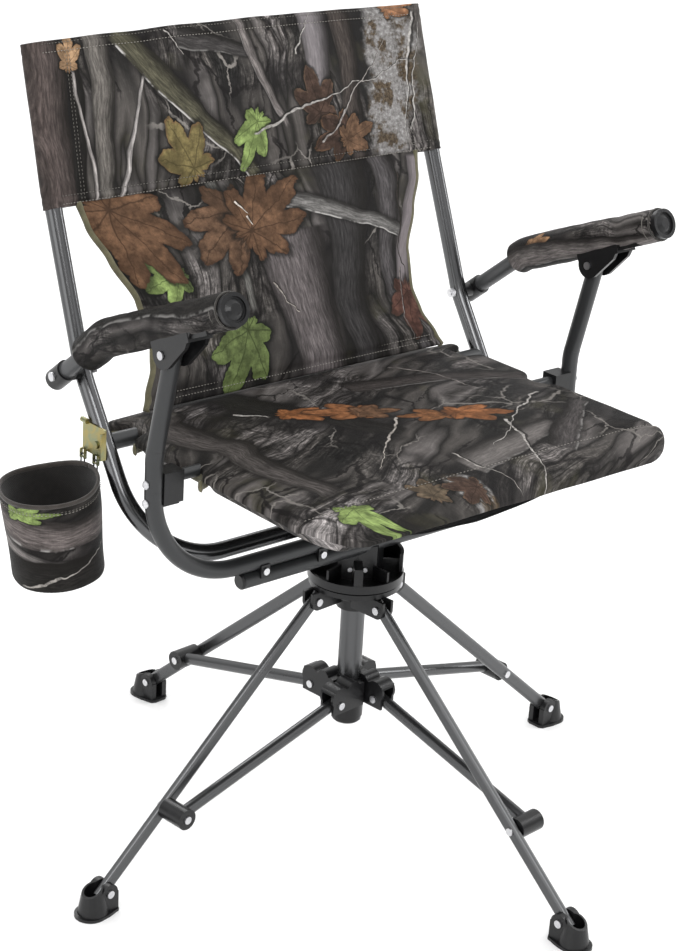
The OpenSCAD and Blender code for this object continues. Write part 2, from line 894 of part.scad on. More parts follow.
// The panel is pulled straight between the seat and the sleeve, ahead of the uprights' bend
module back_panel() {
    low = seat_top_z + 4;
    low_y = rear_y + (upright_bend[0] - rear_y) * (low - run_z) / (upright_bend[1] - run_z);
    color([0.28, 0.24, 0.2])
        panel_slab([low_y, low], upright_knee, low, sleeve_low_z - 2.5);
}

module back_sleeve() {
    lean = atan2(upright_top[0] - upright_knee[0], upright_top[1] - upright_knee[1]);
    height = (upright_top_z - sleeve_low_z) / cos(lean);
    slant = (top_half_w - knee_half_w) / height;
    skin = 2;
    flat_w = top_half_w + 1;
    color([0.28, 0.24, 0.2])
        translate([0, upright_knee[0], upright_knee[1]])
            rotate([-lean, 0, 0])
                difference() {
                    union() {
                        translate([-flat_w, -6, 0])
                            cube([2 * flat_w, 12, height + 3]);
                        both_sides()
                            rod([knee_half_w, 0, 0], [top_half_w + 3 * slant, 0, height + 3],
                                tube_d + 1 + 2 * skin);
                    }
                    both_sides()
                        rod([knee_half_w - 3 * slant, 0, -3], [top_half_w + 0.5 * slant, 0, height + 0.5],
                            tube_d + 1);
                }
}

// ---------------------------------------------------------------- armrests

module arm_path(x, from, to, d) {
    bent_rod([[x, from[0], from[1]], [x, arm_bend[0], arm_bend[1]], [x, to[0], to[1]]], [60], d);
}

module arm_bolt_line(d) {
    rod([-400, arm_pivot[0], arm_pivot[1]], [400, arm_pivot[0], arm_pivot[1]], d);
}

module arm_tubes() {
    color([0.3, 0.3, 0.31])
        difference() {
            for (x = [-front_half_w, front_half_w])
                bent_tube([
                    [x, arm_rear_end[0], arm_rear_end[1]], [x, arm_bend[0], arm_bend[1]],
                    [x, arm_front[0], arm_front[1]]
                ], [60], tube_d, tube_wall);
            arm_bolt_line(arm_bolt_d + 0.4);
        }
}

// Moulded end of the arm tube: a cup over the tube with a boss that meets the upright
module arm_end_fittings() {
    far = arm_rear_end - 4 * arm_rear_dir;
    near = arm_pivot + 13 * arm_rear_dir;
    x = front_half_w;
    color([0.07, 0.07, 0.07])
        both_sides()
            difference() {
                union() {
                    rod([x, far[0], far[1]], [x, near[0], near[1]], tube_d + 5);
                    rod([rear_half_w + 4, arm_pivot[0], arm_pivot[1]],
                        [x, arm_pivot[0], arm_pivot[1]], 17);
                }
                arm_path(x, arm_rear_end, arm_front, tube_d);
                bent_rod(upright_path(), [150, 120], tube_d);
                arm_bolt_line(arm_bolt_d + 0.4);
            }
}

module arm_pivot_bolts() {
    outer = front_half_w + tube_d / 2 + 2.5;
    inner = rear_half_w - tube_d / 2 - 0.5;
    y = arm_pivot[0];
    z = arm_pivot[1];
    color("silver")
        both_sides() {
            rod([inner - 6, y, z], [outer + 2, y, z], arm_bolt_d);
            rod([outer, y, z], [outer + 2, y, z], 10);
            translate([inner - 5, y, z])
                rotate([0, 90, 0])
                    cylinder(d = 12, h = 5, $fn = 6);
        }
}

// Local frame of an arm's front stretch: X stays, Y points back down along the arm, Z is square to it
module on_arm(x) {
    translate([x, arm_front[0], arm_front[1]])
        rotate([-arm_tilt, 0, 0])
            children();
}

// Solid bracket body, before the tubes are cut out of it
module bracket_blank() {
    inner = tube_d / 2 + 0.2;
    cheek = 4.8;
    on_arm(front_half_w) {
        translate([-15, 60, -22])
            cube([30, 64, 21]);
        translate([-12, 32, -19])
            cube([24, 30, 9]);
    }
    for (side = [-1, 1])
        translate([front_half_w + side * (inner + cheek / 2), 0, 0]) {
            rod([-cheek / 2, arm_screw[0], arm_screw[1]], [cheek / 2, arm_screw[0], arm_screw[1]], 30);
            rotate([90, 0, 90])
                linear_extrude(cheek, center = true)
                    polygon([[-30.5, 642], [-24.5, 661], [-94.5, 688], [-82.5, 658], [-56.5, 630]]);
        }
}

module arm_brackets() {
    color([0.07, 0.07, 0.07])
        both_sides()
            difference() {
                bracket_blank();
                arm_path(front_half_w, arm_rear_end, arm_front, tube_d);
                front_side_rod();
                rod([200, arm_screw[0], arm_screw[1]], [400, arm_screw[0], arm_screw[1]], pin_d);
            }
}

module arm_bracket_screws() {
    reach = tube_d / 2 + 5.5;
    color("silver")
        both_sides() {
            rod([front_half_w - reach - head_h, arm_screw[0], arm_screw[1]],
                [front_half_w + reach + head_h, arm_screw[0], arm_screw[1]], pin_d);
            for (x = [front_half_w - reach - head_h, front_half_w + reach])
                rod([x, arm_screw[0], arm_screw[1]], [x + head_h, arm_screw[0], arm_screw[1]], head_d);
        }
}

// One padded cover, from a distance in front of the arm's pivot up to its front end
module arm_cover(from_pivot) {
    rear = arm_pivot + from_pivot * arm_rear_dir;
    front = arm_front - 0.3 * arm_front_dir;
    difference() {
        arm_path(front_half_w, rear, front, arm_cover_d);
        arm_path(front_half_w, arm_rear_end, arm_front + 20 * arm_front_dir, tube_d);
        on_arm(front_half_w)
            translate([-25, 30, -50])
                cube([50, 100, 49.5]);
    }
}

module arm_covers() {
    color([0.3, 0.26, 0.22]) {
        arm_cover(88);
        mirror([1, 0, 0])
            arm_cover(58);
    }
}

module arm_end_caps() {
    color([0.07, 0.07, 0.07])
        both_sides()
            on_arm(front_half_w) {
                rod([0, 12, 0], [0, 0, 0], tube_d - 2 * tube_wall);
                difference() {
                    rod([0, 0, 0], [0, -6, 0], 34);
                    rod([0, -4, 0], [0, -8, 0], 26);
                }
                translate([0, -4, 0])
                    rotate([90, 0, 0])
                        cylinder(d1 = 22, d2 = 12, h = 3);
            }
}

// ---------------------------------------------------------------- cup holder

module accessory_bracket() {
    thick = 2;
    plate_low = 477;
    plate_top = 511;
    plate_rear = 131;
    plate_front = 90;
    color([0.75, 0.68, 0.35])
        difference() {
            union() {
                translate([plate_x - thick, plate_front, plate_low])
                    cube([thick, plate_rear - plate_front, plate_top - plate_low]);
                translate([plate_x - 7, plate_front, plate_low])
                    cube([7, thick, plate_top - plate_low - 4]);
                rod([plate_x - 3, plate_rear - 10, plate_top + 1], [plate_x - 3, plate_rear, plate_top + 1], 6);
                for (y = hook_y) {
                    rod([hook_x, y - 4.5, hook_z], [hook_x, y + 4.5, hook_z], 2.4);
                    for (end = [-4.5, 3])
                        translate([hook_x - 1.5, y + end, hook_z - 1.5])
                            cube([3.4, 1.5, plate_low - hook_z + 4]);
                }
                // Rivet through the plate and the upright into the seat's rear bar
                rod([plate_x - thick - 2, rear_bar_y, rear_bar_z], [plate_x, rear_bar_y, rear_bar_z], 8);
                rod([plate_x - thick, rear_bar_y, rear_bar_z],
                    [-rear_half_w + 6, rear_bar_y, rear_bar_z], 5);
            }
            rod([plate_x - 8, plate_rear - 12, plate_top + 1], [plate_x - 8, plate_rear + 2, plate_top + 1], 2);
        }
}

module cup_links() {
    color([0.1, 0.1, 0.1])
        for (y = hook_y) {
            translate([hook_x, y, hook_z])
                rotate([90, 0, 0])
                    rotate_extrude()
                        translate([3.1, 0])
                            circle(r = 0.9);
            rod([hook_x, y, hook_z - 3.1], [hook_x, y, cup_rim_z], 1.8);
        }
}

// The bucket hangs from one side of its rim, so it leans in under the seat
module cup_holder() {
    low_r = cup_r - 4;
    color([0.3, 0.26, 0.22])
        difference() {
            translate([cup_x, hook_mid_y, cup_rim_z])
                rotate([0, -cup_tilt, 0])
                    translate([0, 0, -cup_h])
                        difference() {
                            union() {
                                cylinder(r1 = low_r - 4, r2 = low_r, h = 6);
                                translate([0, 0, 6])
                                    cylinder(r1 = low_r, r2 = cup_r, h = cup_h - 6);
                            }
                            translate([0, 0, 3])
                                cylinder(r1 = low_r - 6, r2 = cup_r - cup_wall, h = cup_h);
                        }
            for (y = hook_y)
                rod([hook_x, y, cup_rim_z], [hook_x, y, cup_rim_z + 20], 1.8);
        }
}

// ---------------------------------------------------------------- nodes

centre_post();
post_end_cap();
upper_hub();
upper_hub_pins();
swivel_race();
swivel_bolt();
lower_hub();
lower_hub_pins();
leg(0);  // leg_1
leg(1);  // leg_2
leg(2);  // leg_3
leg(3);  // leg_4
leg_rivets(0);  // leg_1_rivets
leg_rivets(1);  // leg_2_rivets
leg_rivets(2);  // leg_3_rivets
leg_rivets(3);  // leg_4_rivets
foot(0);  // foot_1
foot(1);  // foot_2
foot(2);  // foot_3
foot(3);  // foot_4
strut(0);  // strut_1
strut(1);  // strut_2
strut(2);  // strut_3
strut(3);  // strut_4
strut_barrel(0);  // strut_1_barrel
strut_barrel(1);  // strut_2_barrel
strut_barrel(2);  // strut_3_barrel
strut_barrel(3);  // strut_4_barrel
strut_screw(0);  // strut_1_screw
strut_screw(1);  // strut_2_screw
strut_screw(2);  // strut_3_screw
strut_screw(3);  // strut_4_screw
turret();
turret_clamp();
turret_screws();
cross_tube();
cross_tube_plugs();
frame_clips();
frame_clip_screws();
front_frame();
rear_frame();
seat_blocks();
seat_block_bolts();
seat_rear_bar();
seat_mid_bar();
seat_rails();
seat_cushion();
seat_sling();
back_panel();
back_sleeve();
arm_tubes();
arm_end_fittings();
arm_pivot_bolts();
arm_brackets();
arm_bracket_screws();
arm_covers();
arm_end_caps();
accessory_bracket();
cup_links();
cup_holder();
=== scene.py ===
"""Looks for the blind swivel chair: camera, light, materials and the soft goods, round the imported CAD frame."""

import math

import bpy
from mathutils import Matrix, Vector, noise


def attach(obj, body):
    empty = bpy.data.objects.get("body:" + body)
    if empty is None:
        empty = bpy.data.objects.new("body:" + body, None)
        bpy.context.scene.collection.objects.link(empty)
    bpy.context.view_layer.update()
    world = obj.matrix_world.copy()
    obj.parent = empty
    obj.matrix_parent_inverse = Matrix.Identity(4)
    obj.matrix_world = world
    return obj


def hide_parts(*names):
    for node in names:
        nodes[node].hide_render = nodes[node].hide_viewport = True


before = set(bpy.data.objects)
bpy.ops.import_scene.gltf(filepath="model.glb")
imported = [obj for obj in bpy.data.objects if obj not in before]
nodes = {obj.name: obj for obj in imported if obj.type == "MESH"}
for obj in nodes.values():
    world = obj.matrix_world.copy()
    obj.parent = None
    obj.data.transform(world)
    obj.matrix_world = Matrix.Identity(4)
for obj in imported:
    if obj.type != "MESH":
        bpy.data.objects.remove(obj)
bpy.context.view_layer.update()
scene = bpy.context.scene


# ------------------------------------------------------------------ shader helpers


class Graph:
    """Short ways to add nodes to one node tree."""

    def __init__(self, tree):
        self.tree = tree

    def add(self, kind, values=None, **settings):
        made = self.tree.nodes.new(kind)
        for key, value in settings.items():
            setattr(made, key, value)
        for key, value in (values or {}).items():
            self.put(made.inputs[key], value)
        return made

    def put(self, socket, value):
        if isinstance(value, bpy.types.NodeSocket):
            self.tree.links.new(value, socket)
        elif socket.type == "RGBA":
            socket.default_value = (*value[:3], 1.0)
        else:
            socket.default_value = value

    def math(self, operation, a, b=0.0):
        return self.add("ShaderNodeMath", {0: a, 1: b}, operation=operation).outputs[0]

    def plus(self, a, b):
        return self.math("ADD", a, b)

    def minus(self, a, b):
        return self.math("SUBTRACT", a, b)

    def times(self, a, b):
        return self.math("MULTIPLY", a, b)

    def over(self, a, b):
        return self.math("DIVIDE", a, b)

    def size(self, a):
        return self.math("ABSOLUTE", a)

    def vector(self, operation, a, b):
        return self.add("ShaderNodeVectorMath", {0: a, 1: b}, operation=operation).outputs[0]

    def moved(self, vector, by):
        return self.vector("ADD", vector, by)

    def scaled(self, vector, by):
        return self.vector("MULTIPLY", vector, by)

    def turned(self, vector, angle):
        values = {"Vector": vector, "Angle": angle}
        return self.add("ShaderNodeVectorRotate", values, rotation_type="Z_AXIS").outputs[0]

    def bent(self, vector, scale, reach, rough=0.5):
        """The place pushed about by a coloured noise, by up to half of reach."""
        push = self.noise(vector, scale, 3.0, rough, color=True)
        push = self.vector("SUBTRACT", push, (0.5, 0.5, 0.5))
        return self.moved(vector, self.scaled(push, (reach, reach, 0.0)))

    def edges(self, vector):
        """Distance to the nearest border between cells."""
        values = {"Vector": vector, "Scale": 1.0}
        made = self.add("ShaderNodeTexVoronoi", values, feature="DISTANCE_TO_EDGE")
        return made.outputs["Distance"]

    def mix(self, factor, a, b, blend="MIX"):
        made = self.add("ShaderNodeMix", data_type="RGBA", blend_type=blend)
        self.put(made.inputs[0], factor)
        self.put(made.inputs[6], a)
        self.put(made.inputs[7], b)
        return made.outputs[2]

    def tinted(self, a, b):
        return self.mix(1.0, a, b, "MULTIPLY")

    def noise(self, vector, scale, detail=4.0, rough=0.5, distortion=0.0, color=False):
        values = {"Scale": scale, "Detail": detail, "Roughness": rough, "Distortion": distortion}
        made = self.add("ShaderNodeTexNoise", values)
        self.put(made.inputs["Vector"], vector)
        return made.outputs["Color" if color else "Fac"]

    def fade(self, value, low, high, to_low=0.0, to_high=1.0):
        """Smooth step from to_low at low to to_high at high."""
        made = self.add(
            "ShaderNodeMapRange",
            {0: value, 1: low, 2: high, 3: to_low, 4: to_high},
            interpolation_type="SMOOTHSTEP",
        )
        return made.outputs[0]

    def ramp(self, value, stops):
        made = self.add("ShaderNodeValToRGB", {0: value})
        bar = made.color_ramp
        while len(bar.elements) < len(stops):
            bar.elements.new(0.5)
        for element, (place, color) in zip(bar.elements, stops):
            element.position = place
            element.color = (*color, 1.0)
        return made.outputs[0]

    def greys(self, value, *stops):
        return self.ramp(value, [(place, (grey,) * 3) for place, grey in stops])

    def here(self):
        """The place on the object itself, in metres."""
        return self.add("ShaderNodeTexCoord").outputs["Object"]

    def cloth(self):
        """The place on the flat cloth, in metres."""
        return self.add("ShaderNodeUVMap", uv_map="cloth").outputs[0]

    def split(self, vector):
        return self.add("ShaderNodeSeparateXYZ", {0: vector}).outputs

    def join(self, x, y, z=0.0):
        return self.add("ShaderNodeCombineXYZ", {0: x, 1: y, 2: z}).outputs[0]


def new_material(name):
    made = bpy.data.materials.new(name)
    made.use_nodes = True
    made.node_tree.nodes.clear()
    graph = Graph(made.node_tree)
    shader = graph.add("ShaderNodeBsdfPrincipled")
    out = graph.add("ShaderNodeOutputMaterial")
    graph.tree.links.new(shader.outputs[0], out.inputs[0])
    return made, graph, shader


def finish_shader(graph, shader, bump=None, strength=0.3, distance=0.001, **values):
    for key, value in values.items():
        graph.put(shader.inputs[key.replace("_", " ")], value)
    if bump is not None:
        made = graph.add("ShaderNodeBump", {"Strength": strength, "Distance": distance, "Height": bump})
        graph.put(shader.inputs["Normal"], made.outputs[0])


# ------------------------------------------------------------------ hard materials


def metal(name, base, rough, metallic, fleck=0.1, streak=0.12, coat=0.0):
    """A coated or bare metal tube: slight streaks, dust and a fine orange-peel bump."""
    made, g, shader = new_material(name)
    at = g.here()
    broad = g.noise(at, 9.0, 5.0, 0.6)
    fine = g.noise(at, 420.0, 3.0, 0.7)
    peel = g.noise(at, 1500.0, 2.0, 0.5)
    tone = g.plus(g.times(broad, streak), g.times(fine, fleck))
    color = g.mix(tone, base, [min(1, 1.9 * c + 0.01) for c in base])
    roughness = g.plus(g.times(broad, 0.16), rough - 0.08)
    finish_shader(
        g, shader, peel, 0.12, 0.0003,
        Base_Color=color, Roughness=roughness, Metallic=metallic, Coat_Weight=coat, Coat_Roughness=0.12,
    )
    return made


def plastic(name, base, rough, grain=900.0, grain_strength=0.25):
    """Moulded plastic: fine leather-like grain, faint scuffs and paler worn patches."""
    made, g, shader = new_material(name)
    at = g.here()
    scuff = g.noise(at, 60.0, 6.0, 0.7)
    cells = g.add("ShaderNodeTexVoronoi", {"Vector": at, "Scale": grain}).outputs["Distance"]
    wear = g.fade(scuff, 0.52, 0.75)
    color = g.mix(g.times(wear, 0.35), base, [2.4 * c + 0.006 for c in base])
    roughness = g.plus(g.times(wear, 0.18), rough)
    finish_shader(
        g, shader, cells, grain_strength, 0.0004,
        Base_Color=color, Roughness=roughness, Specular_IOR_Level=0.34,
    )
    return made


def plated(name, base, tint, rough):
    """Plated steel with a patchy passivated tint and fine brushing."""
    made, g, shader = new_material(name)
    at = g.here()
    patch = g.noise(at, 55.0, 4.0, 0.6, 0.8)
    brush = g.noise(g.scaled(at, (1.0, 1.0, 14.0)), 260.0, 3.0, 0.6)
    color = g.mix(g.fade(patch, 0.35, 0.65), base, tint)
    roughness = g.plus(g.times(brush, 0.2), rough)
    finish_shader(
        g, shader, brush, 0.15, 0.0003, Base_Color=color, Roughness=roughness, Metallic=1.0
    )
    return made


# ------------------------------------------------------------------ woodland print


def cloth_place(g, offset=(0.0, 0.0), turn=0.0, zoom=1.0):
    """Where a point lies on its own cloth, in metres, as a vector."""
    return g.scaled(g.turned(g.moved(g.cloth(), (*offset, 0.0)), turn), (zoom, zoom, zoom))


def local_place(g, at, x, y, angle, size=1.0):
    """The same place, counted from a point and along a direction of the print."""
    turned = g.turned(g.vector("SUBTRACT", at, (x, y, 0.0)), -math.radians(angle))
    return g.split(g.scaled(turned, (1 / size, 1 / size, 1.0)))


def ground(g, at, dark):
    """Soft, out-of-focus trunks, with zones of sharp cracked bark between them."""
    bent = g.bent(at, 4.5, 0.11)
    soft = g.noise(g.scaled(bent, (16.0, 2.3, 1.0)), 1.0, 2.2, 0.5)
    color = g.ramp(soft, [
        (0.30, (0.006, 0.006, 0.006)), (0.41, (0.016, 0.015, 0.014)), (0.475, (0.074, 0.067, 0.062)),
        (0.52, (0.011, 0.010, 0.009)), (0.585, (0.135, 0.123, 0.118)), (0.64, (0.026, 0.023, 0.021)),
        (0.73, (0.26, 0.24, 0.235)),
    ])
    fibre = g.noise(g.scaled(bent, (400.0, 40.0, 1.0)), 1.0, 5.0, 0.7)
    crust = g.noise(bent, 150.0, 5.0, 0.75)
    bark = g.tinted(g.greys(fibre, (0.34, 0.25), (0.5, 0.9), (0.66, 2.4)),
                    g.greys(crust, (0.36, 0.4), (0.5, 1.0), (0.66, 1.9)))
    zone = g.fade(g.noise(g.moved(bent, (3.0, 1.0, 0.0)), 8.0, 2.0, 0.5), 0.46, 0.56, 0.15, 1.0)
    color = g.mix(zone, color, g.tinted(color, bark))
    crack = g.edges(g.scaled(bent, (60.0, 9.0, 1.0)))
    color = g.mix(g.times(g.fade(crack, 0.0, 0.06, 0.8, 0.0), zone), color, (0.006, 0.005, 0.005))
    moss = g.fade(g.noise(bent, 9.0, 4.0, 0.6), 0.56, 0.68, 0.0, 0.5)
    color = g.mix(moss, color, (0.060, 0.056, 0.032))
    shadow = g.fade(g.noise(g.moved(at, (7.0, 5.0, 0.0)), 8.5, 3.0, 0.55), 0.50, 0.62, 0.0, 0.80)
    color = g.mix(shadow, color, (0.010, 0.009, 0.009))
    thicket = g.noise(g.moved(at, (2.0, 9.0, 0.0)), 7.0, 2.0, 0.5)
    color = brushwood(g, bent, color, (19.0, 7.0), 0.020, g.fade(thicket, 0.40, 0.50), (0.006, 0.005, 0.005))
    color = brushwood(g, bent, color, (13.0, 8.5), 0.010, g.fade(thicket, 0.50, 0.58), (0.20, 0.185, 0.17))
    return g.tinted(color, (dark,) * 3)


def brushwood(g, at, color, scale, half, where, tone):
    """A thicket of fine crossing twigs: the borders between stretched cells."""
    border = g.edges(g.scaled(g.bent(at, 60.0, 0.020, 0.6), (*scale, 1.0)))
    line = g.times(g.fade(border, half * 0.5, half * 1.3, 0.85, 0.0), where)
    return g.mix(line, color, tone)


def birch_patch(g, at, color, x, y, size):
    """A pale piece of bark with brown lichen over it."""
    px, py, _ = local_place(g, at, x, y, 0, size)
    wobble = g.times(g.minus(g.noise(at, 26.0, 4.0, 0.6), 0.5), 1.1)
    across = g.math("POWER", px, 2.0)
    along = g.math("POWER", g.times(py, 0.55), 2.0)
    reach = g.plus(g.math("SQRT", g.plus(across, along)), wobble)
    pale = g.ramp(g.noise(at, 190.0, 5.0, 0.75), [
        (0.3, (0.06, 0.055, 0.05)), (0.55, (0.24, 0.23, 0.225)), (0.7, (0.42,) * 3),
    ])
    lichen = g.ramp(g.noise(at, 260.0, 5.0, 0.8), [
        (0.35, (0.012, 0.009, 0.006)), (0.55, (0.085, 0.062, 0.040)), (0.7, (0.17, 0.14, 0.10)),
    ])
    body = g.mix(g.fade(g.noise(at, 34.0, 4.0, 0.65), 0.47, 0.57, 1.0, 0.0), lichen, pale)
    return g.mix(g.fade(reach, 0.72, 1.05, 0.95, 0.0), color, body)


def branch(g, at, color, x, y, angle, length, half, tone, light_edge=0.6, rough=1.0, taper=0.6):
    """A bough laid across the print: round shading, a dark upper edge and a pale lit lower one."""
    px, py, _ = local_place(g, at, x, y, angle)
    drift = g.noise(g.moved(at, (x * 7, y * 5, 0)), 9.0, 3.0, 0.5)
    py = g.plus(py, g.times(g.minus(drift, 0.5), 0.0288))
    share = g.over(px, length)
    width = g.times(half, g.fade(share, 0.0, 1.0, 1.0, taper))
    across = g.over(py, width)
    ends = g.times(g.fade(share, -0.03, 0.0), g.fade(share, 0.97, 1.03, 1.0, 0.0))
    inside = g.times(g.fade(g.size(across), 0.92, 1.04, 1.0, 0.0), ends)
    bark = g.noise(g.join(g.times(px, 45.0), g.times(py, 330.0)), 1.0, 5.0, 0.72)
    grain = g.greys(bark, (0.32, 0.35), (0.5, 0.95), (0.68, 2.0))
    body = g.mix(rough, tone, g.tinted(tone, grain))
    body = g.mix(g.fade(across, -0.1, 1.0, 0.0, 0.93), body, (0.008, 0.007, 0.006))
    body = g.mix(g.fade(across, -1.0, -0.45, 0.55, 0.0), body, (0.012, 0.011, 0.010))
    broken = g.fade(g.noise(at, 42.0, 3.0, 0.6), 0.42, 0.56)
    edge = g.times(g.fade(across, -0.98, -0.74, 1.0, 0.0), broken)
    body = g.mix(g.times(edge, light_edge), body, (0.56, 0.54, 0.52))
    halo = g.times(g.fade(g.size(across), 0.9, 1.5, 0.7, 0.0), ends)
    color = g.mix(halo, color, (0.007, 0.006, 0.006))
    return g.mix(inside, color, body)


def twig(g, at, color, x, y, angle, length, half=0.0014, tone=(0.34, 0.31, 0.28), wiggle=0.012):
    """A thin bare twig with a shadow beside it."""
    px, py, _ = local_place(g, at, x, y, angle)
    drift = g.noise(g.moved(at, (x * 9 + 3, y * 6, 0)), 20.0, 3.5, 0.55)
    py = g.plus(py, g.times(g.minus(drift, 0.5), 2.6 * wiggle))
    share = g.over(px, length)
    width = g.times(half, g.fade(share, 0.0, 1.0, 1.0, 0.3))
    across = g.over(py, width)
    ends = g.times(g.fade(share, -0.02, 0.0), g.fade(share, 0.95, 1.0, 1.0, 0.0))
    core = g.times(g.fade(g.size(across), 0.6, 1.15, 1.0, 0.0), ends)
    beside = g.size(g.minus(across, 1.0))
    shade = g.times(g.fade(beside, 0.9, 2.2, 0.8, 0.0), ends)
    color = g.mix(shade, color, (0.008, 0.007, 0.006))
    speck = g.fade(g.noise(at, 160.0, 3.0, 0.6), 0.35, 0.6, 0.45, 1.0)
    return g.mix(core, color, g.tinted(tone, g.join(speck, speck, speck)))


def leaf(g, at, color, x, y, angle, size, tone, rim, slim=0.8, spread=52.0, depth=0.42):
    """A dead or living leaf: pointed lobes that radiate from the stem, veins, mottling and a shadow."""
    px, py, _ = local_place(g, at, x, y, angle, size)
    px = g.plus(px, 0.5)
    py = g.over(py, slim)
    ripple = g.minus(g.noise(g.moved(at, (x, y, 0)), 2.4 / size, 4.0, 0.6), 0.5)
    turn = g.math("ARCTAN2", py, px)
    turn = g.plus(turn, g.times(ripple, 0.35))
    far = g.math("SQRT", g.plus(g.math("POWER", px, 2.0), g.math("POWER", py, 2.0)))
    beat = math.pi / math.radians(spread)
    lobe = g.math("POWER", g.size(g.math("COSINE", g.times(turn, beat))), 1.3)
    teeth = g.size(g.math("COSINE", g.times(turn, beat * 3.0)))
    fan = g.math("POWER", g.math("COSINE", g.times(turn, 0.5)), 2.0)
    reach = g.times(g.plus(0.30, g.times(fan, 1.20)),
                   g.plus(1 - depth, g.times(lobe, depth)))
    reach = g.plus(reach, g.plus(g.times(teeth, 0.07), g.times(ripple, 0.30)))
    margin = g.minus(reach, far)
    mottle = g.noise(at, 85.0, 5.0, 0.7)
    blotch = g.fade(g.noise(g.moved(at, (y, x, 0)), 1.6 / size, 3.0, 0.6), 0.42, 0.60)
    body = g.tinted(tone, g.greys(mottle, (0.32, 0.38), (0.5, 1.0), (0.70, 1.7)))
    body = g.mix(g.fade(margin, 0.0, 0.16, 0.8, 0.0), body, rim)
    vein = g.times(g.size(g.math("SINE", g.times(turn, beat))), far)
    side = g.size(g.math("SINE", g.minus(g.times(far, 19.0), g.times(vein, 9.0))))
    body = g.mix(g.fade(vein, 0.02, 0.10, 0.75, 0.0), body, [0.28 * c for c in tone])
    body = g.mix(g.fade(side, 0.0, 0.22, 0.30, 0.0), body, [0.35 * c for c in tone])
    body = g.mix(g.times(blotch, 0.62), body, [0.34 * c for c in tone])
    color = g.mix(g.fade(margin, -0.22, 0.0, 0.0, 0.8), color, (0.006, 0.006, 0.005))
    return g.mix(g.fade(margin, 0.0, 0.03), color, body)


RUST = (0.118, 0.064, 0.036)
RUST_RIM = (0.042, 0.020, 0.011)
ORANGE = (0.23, 0.092, 0.036)
ORANGE_RIM = (0.075, 0.032, 0.015)
BROWN = (0.056, 0.034, 0.025)
BROWN_RIM = (0.12, 0.075, 0.048)
LIME = (0.20, 0.27, 0.090)
LIME_RIM = (0.10, 0.14, 0.042)
# The lime leaf colour darkened by about half, for a leaf low on the back: painted shade.
LIME_IN_PAINTED_SHADE = (0.098, 0.128, 0.046)
TAN = (0.33, 0.21, 0.12)
TAN_RIM = (0.14, 0.075, 0.038)
OLIVE_LEAF = (0.165, 0.132, 0.055)
MOSSY = (0.066, 0.062, 0.042)
SMOOTH_BARK = (0.17, 0.155, 0.16)
BLACK_BARK = (0.012, 0.011, 0.010)
PALE = (0.37, 0.35, 0.33)


def fabric(name, print_steps, dark=1.0, offset=(0.0, 0.0), turn=0.0, zoom=1.0, rough=0.56):
    """Printed woven polyester. print_steps lays boughs, twigs and leaves over the bark ground."""
    made, g, shader = new_material(name)
    at = cloth_place(g)
    color = ground(g, cloth_place(g, offset, turn, zoom), dark)
    for step, *values in print_steps:
        color = step(g, at, color, *values)
    weave = weave_height(g, at, 1500.0)
    crumple = g.noise(at, 26.0, 4.0, 0.5)
    height = g.plus(g.times(weave, 0.22), g.times(crumple, 2.4))
    slub = g.noise(g.scaled(at, (900.0, 60.0, 1.0)), 1.0, 2.0, 0.5)
    color = g.mix(0.25, color, g.greys(slub, (0.3, 0.7), (0.7, 1.35)), "MULTIPLY")
    finish_shader(
        g, shader, height, 0.4, 0.0012,
        Base_Color=color, Roughness=rough, Specular_IOR_Level=0.09,
    )
    return made


def weave_height(g, uv, threads):
    x, y, _ = g.split(g.scaled(uv, (threads * math.pi, threads * math.pi, 0.0)))
    return g.times(g.math("SINE", x), g.math("SINE", y))


def plain_cloth(name, base, threads=900.0, rough=0.7, ribs=0.0):
    """Plain tape or webbing, with an optional cross rib."""
    made, g, shader = new_material(name)
    uv = g.cloth()
    dirt = g.noise(g.here(), 70.0, 5.0, 0.65)
    color = g.tinted(base, g.greys(dirt, (0.3, 0.65), (0.7, 1.35)))
    height = weave_height(g, uv, threads)
    if ribs:
        rib = g.math("SINE", g.times(g.split(uv)[1], ribs * 2 * math.pi))
        height = g.plus(height, g.times(rib, 1.2))
        color = g.mix(g.fade(rib, -1.0, 1.0, 0.3, 0.0), color, [0.5 * c for c in base])
    finish_shader(
        g, shader, height, 0.4, 0.0005, Base_Color=color, Roughness=rough, Sheen_Weight=0.2,
        Specular_IOR_Level=0.25,
    )
    return made


def thread_material(name, base):
    made, g, shader = new_material(name)
    twist = g.noise(g.scaled(g.here(), (1.0, 1.0, 2.0)), 1400.0, 2.0, 0.5)
    color = g.mix(g.fade(twist, 0.3, 0.7), [0.6 * c for c in base], base)
    finish_shader(g, shader, twist, 0.3, 0.0002, Base_Color=color, Roughness=0.55)
    return made


# ------------------------------------------------------------------ mesh helpers


def mm(x, y, z):
    return Vector((x, y, z)) * 0.001


def lerp(a, b, t):
    return a + (b - a) * t


def clamp01(t):
    return max(0.0, min(1.0, t))


def smooth(t):
    t = clamp01(t)
    return t * t * (3 - 2 * t)


def wrinkle(point, scale, seed=0.0):
    return noise.noise(point * scale + Vector((seed, seed * 1.7, -seed)))


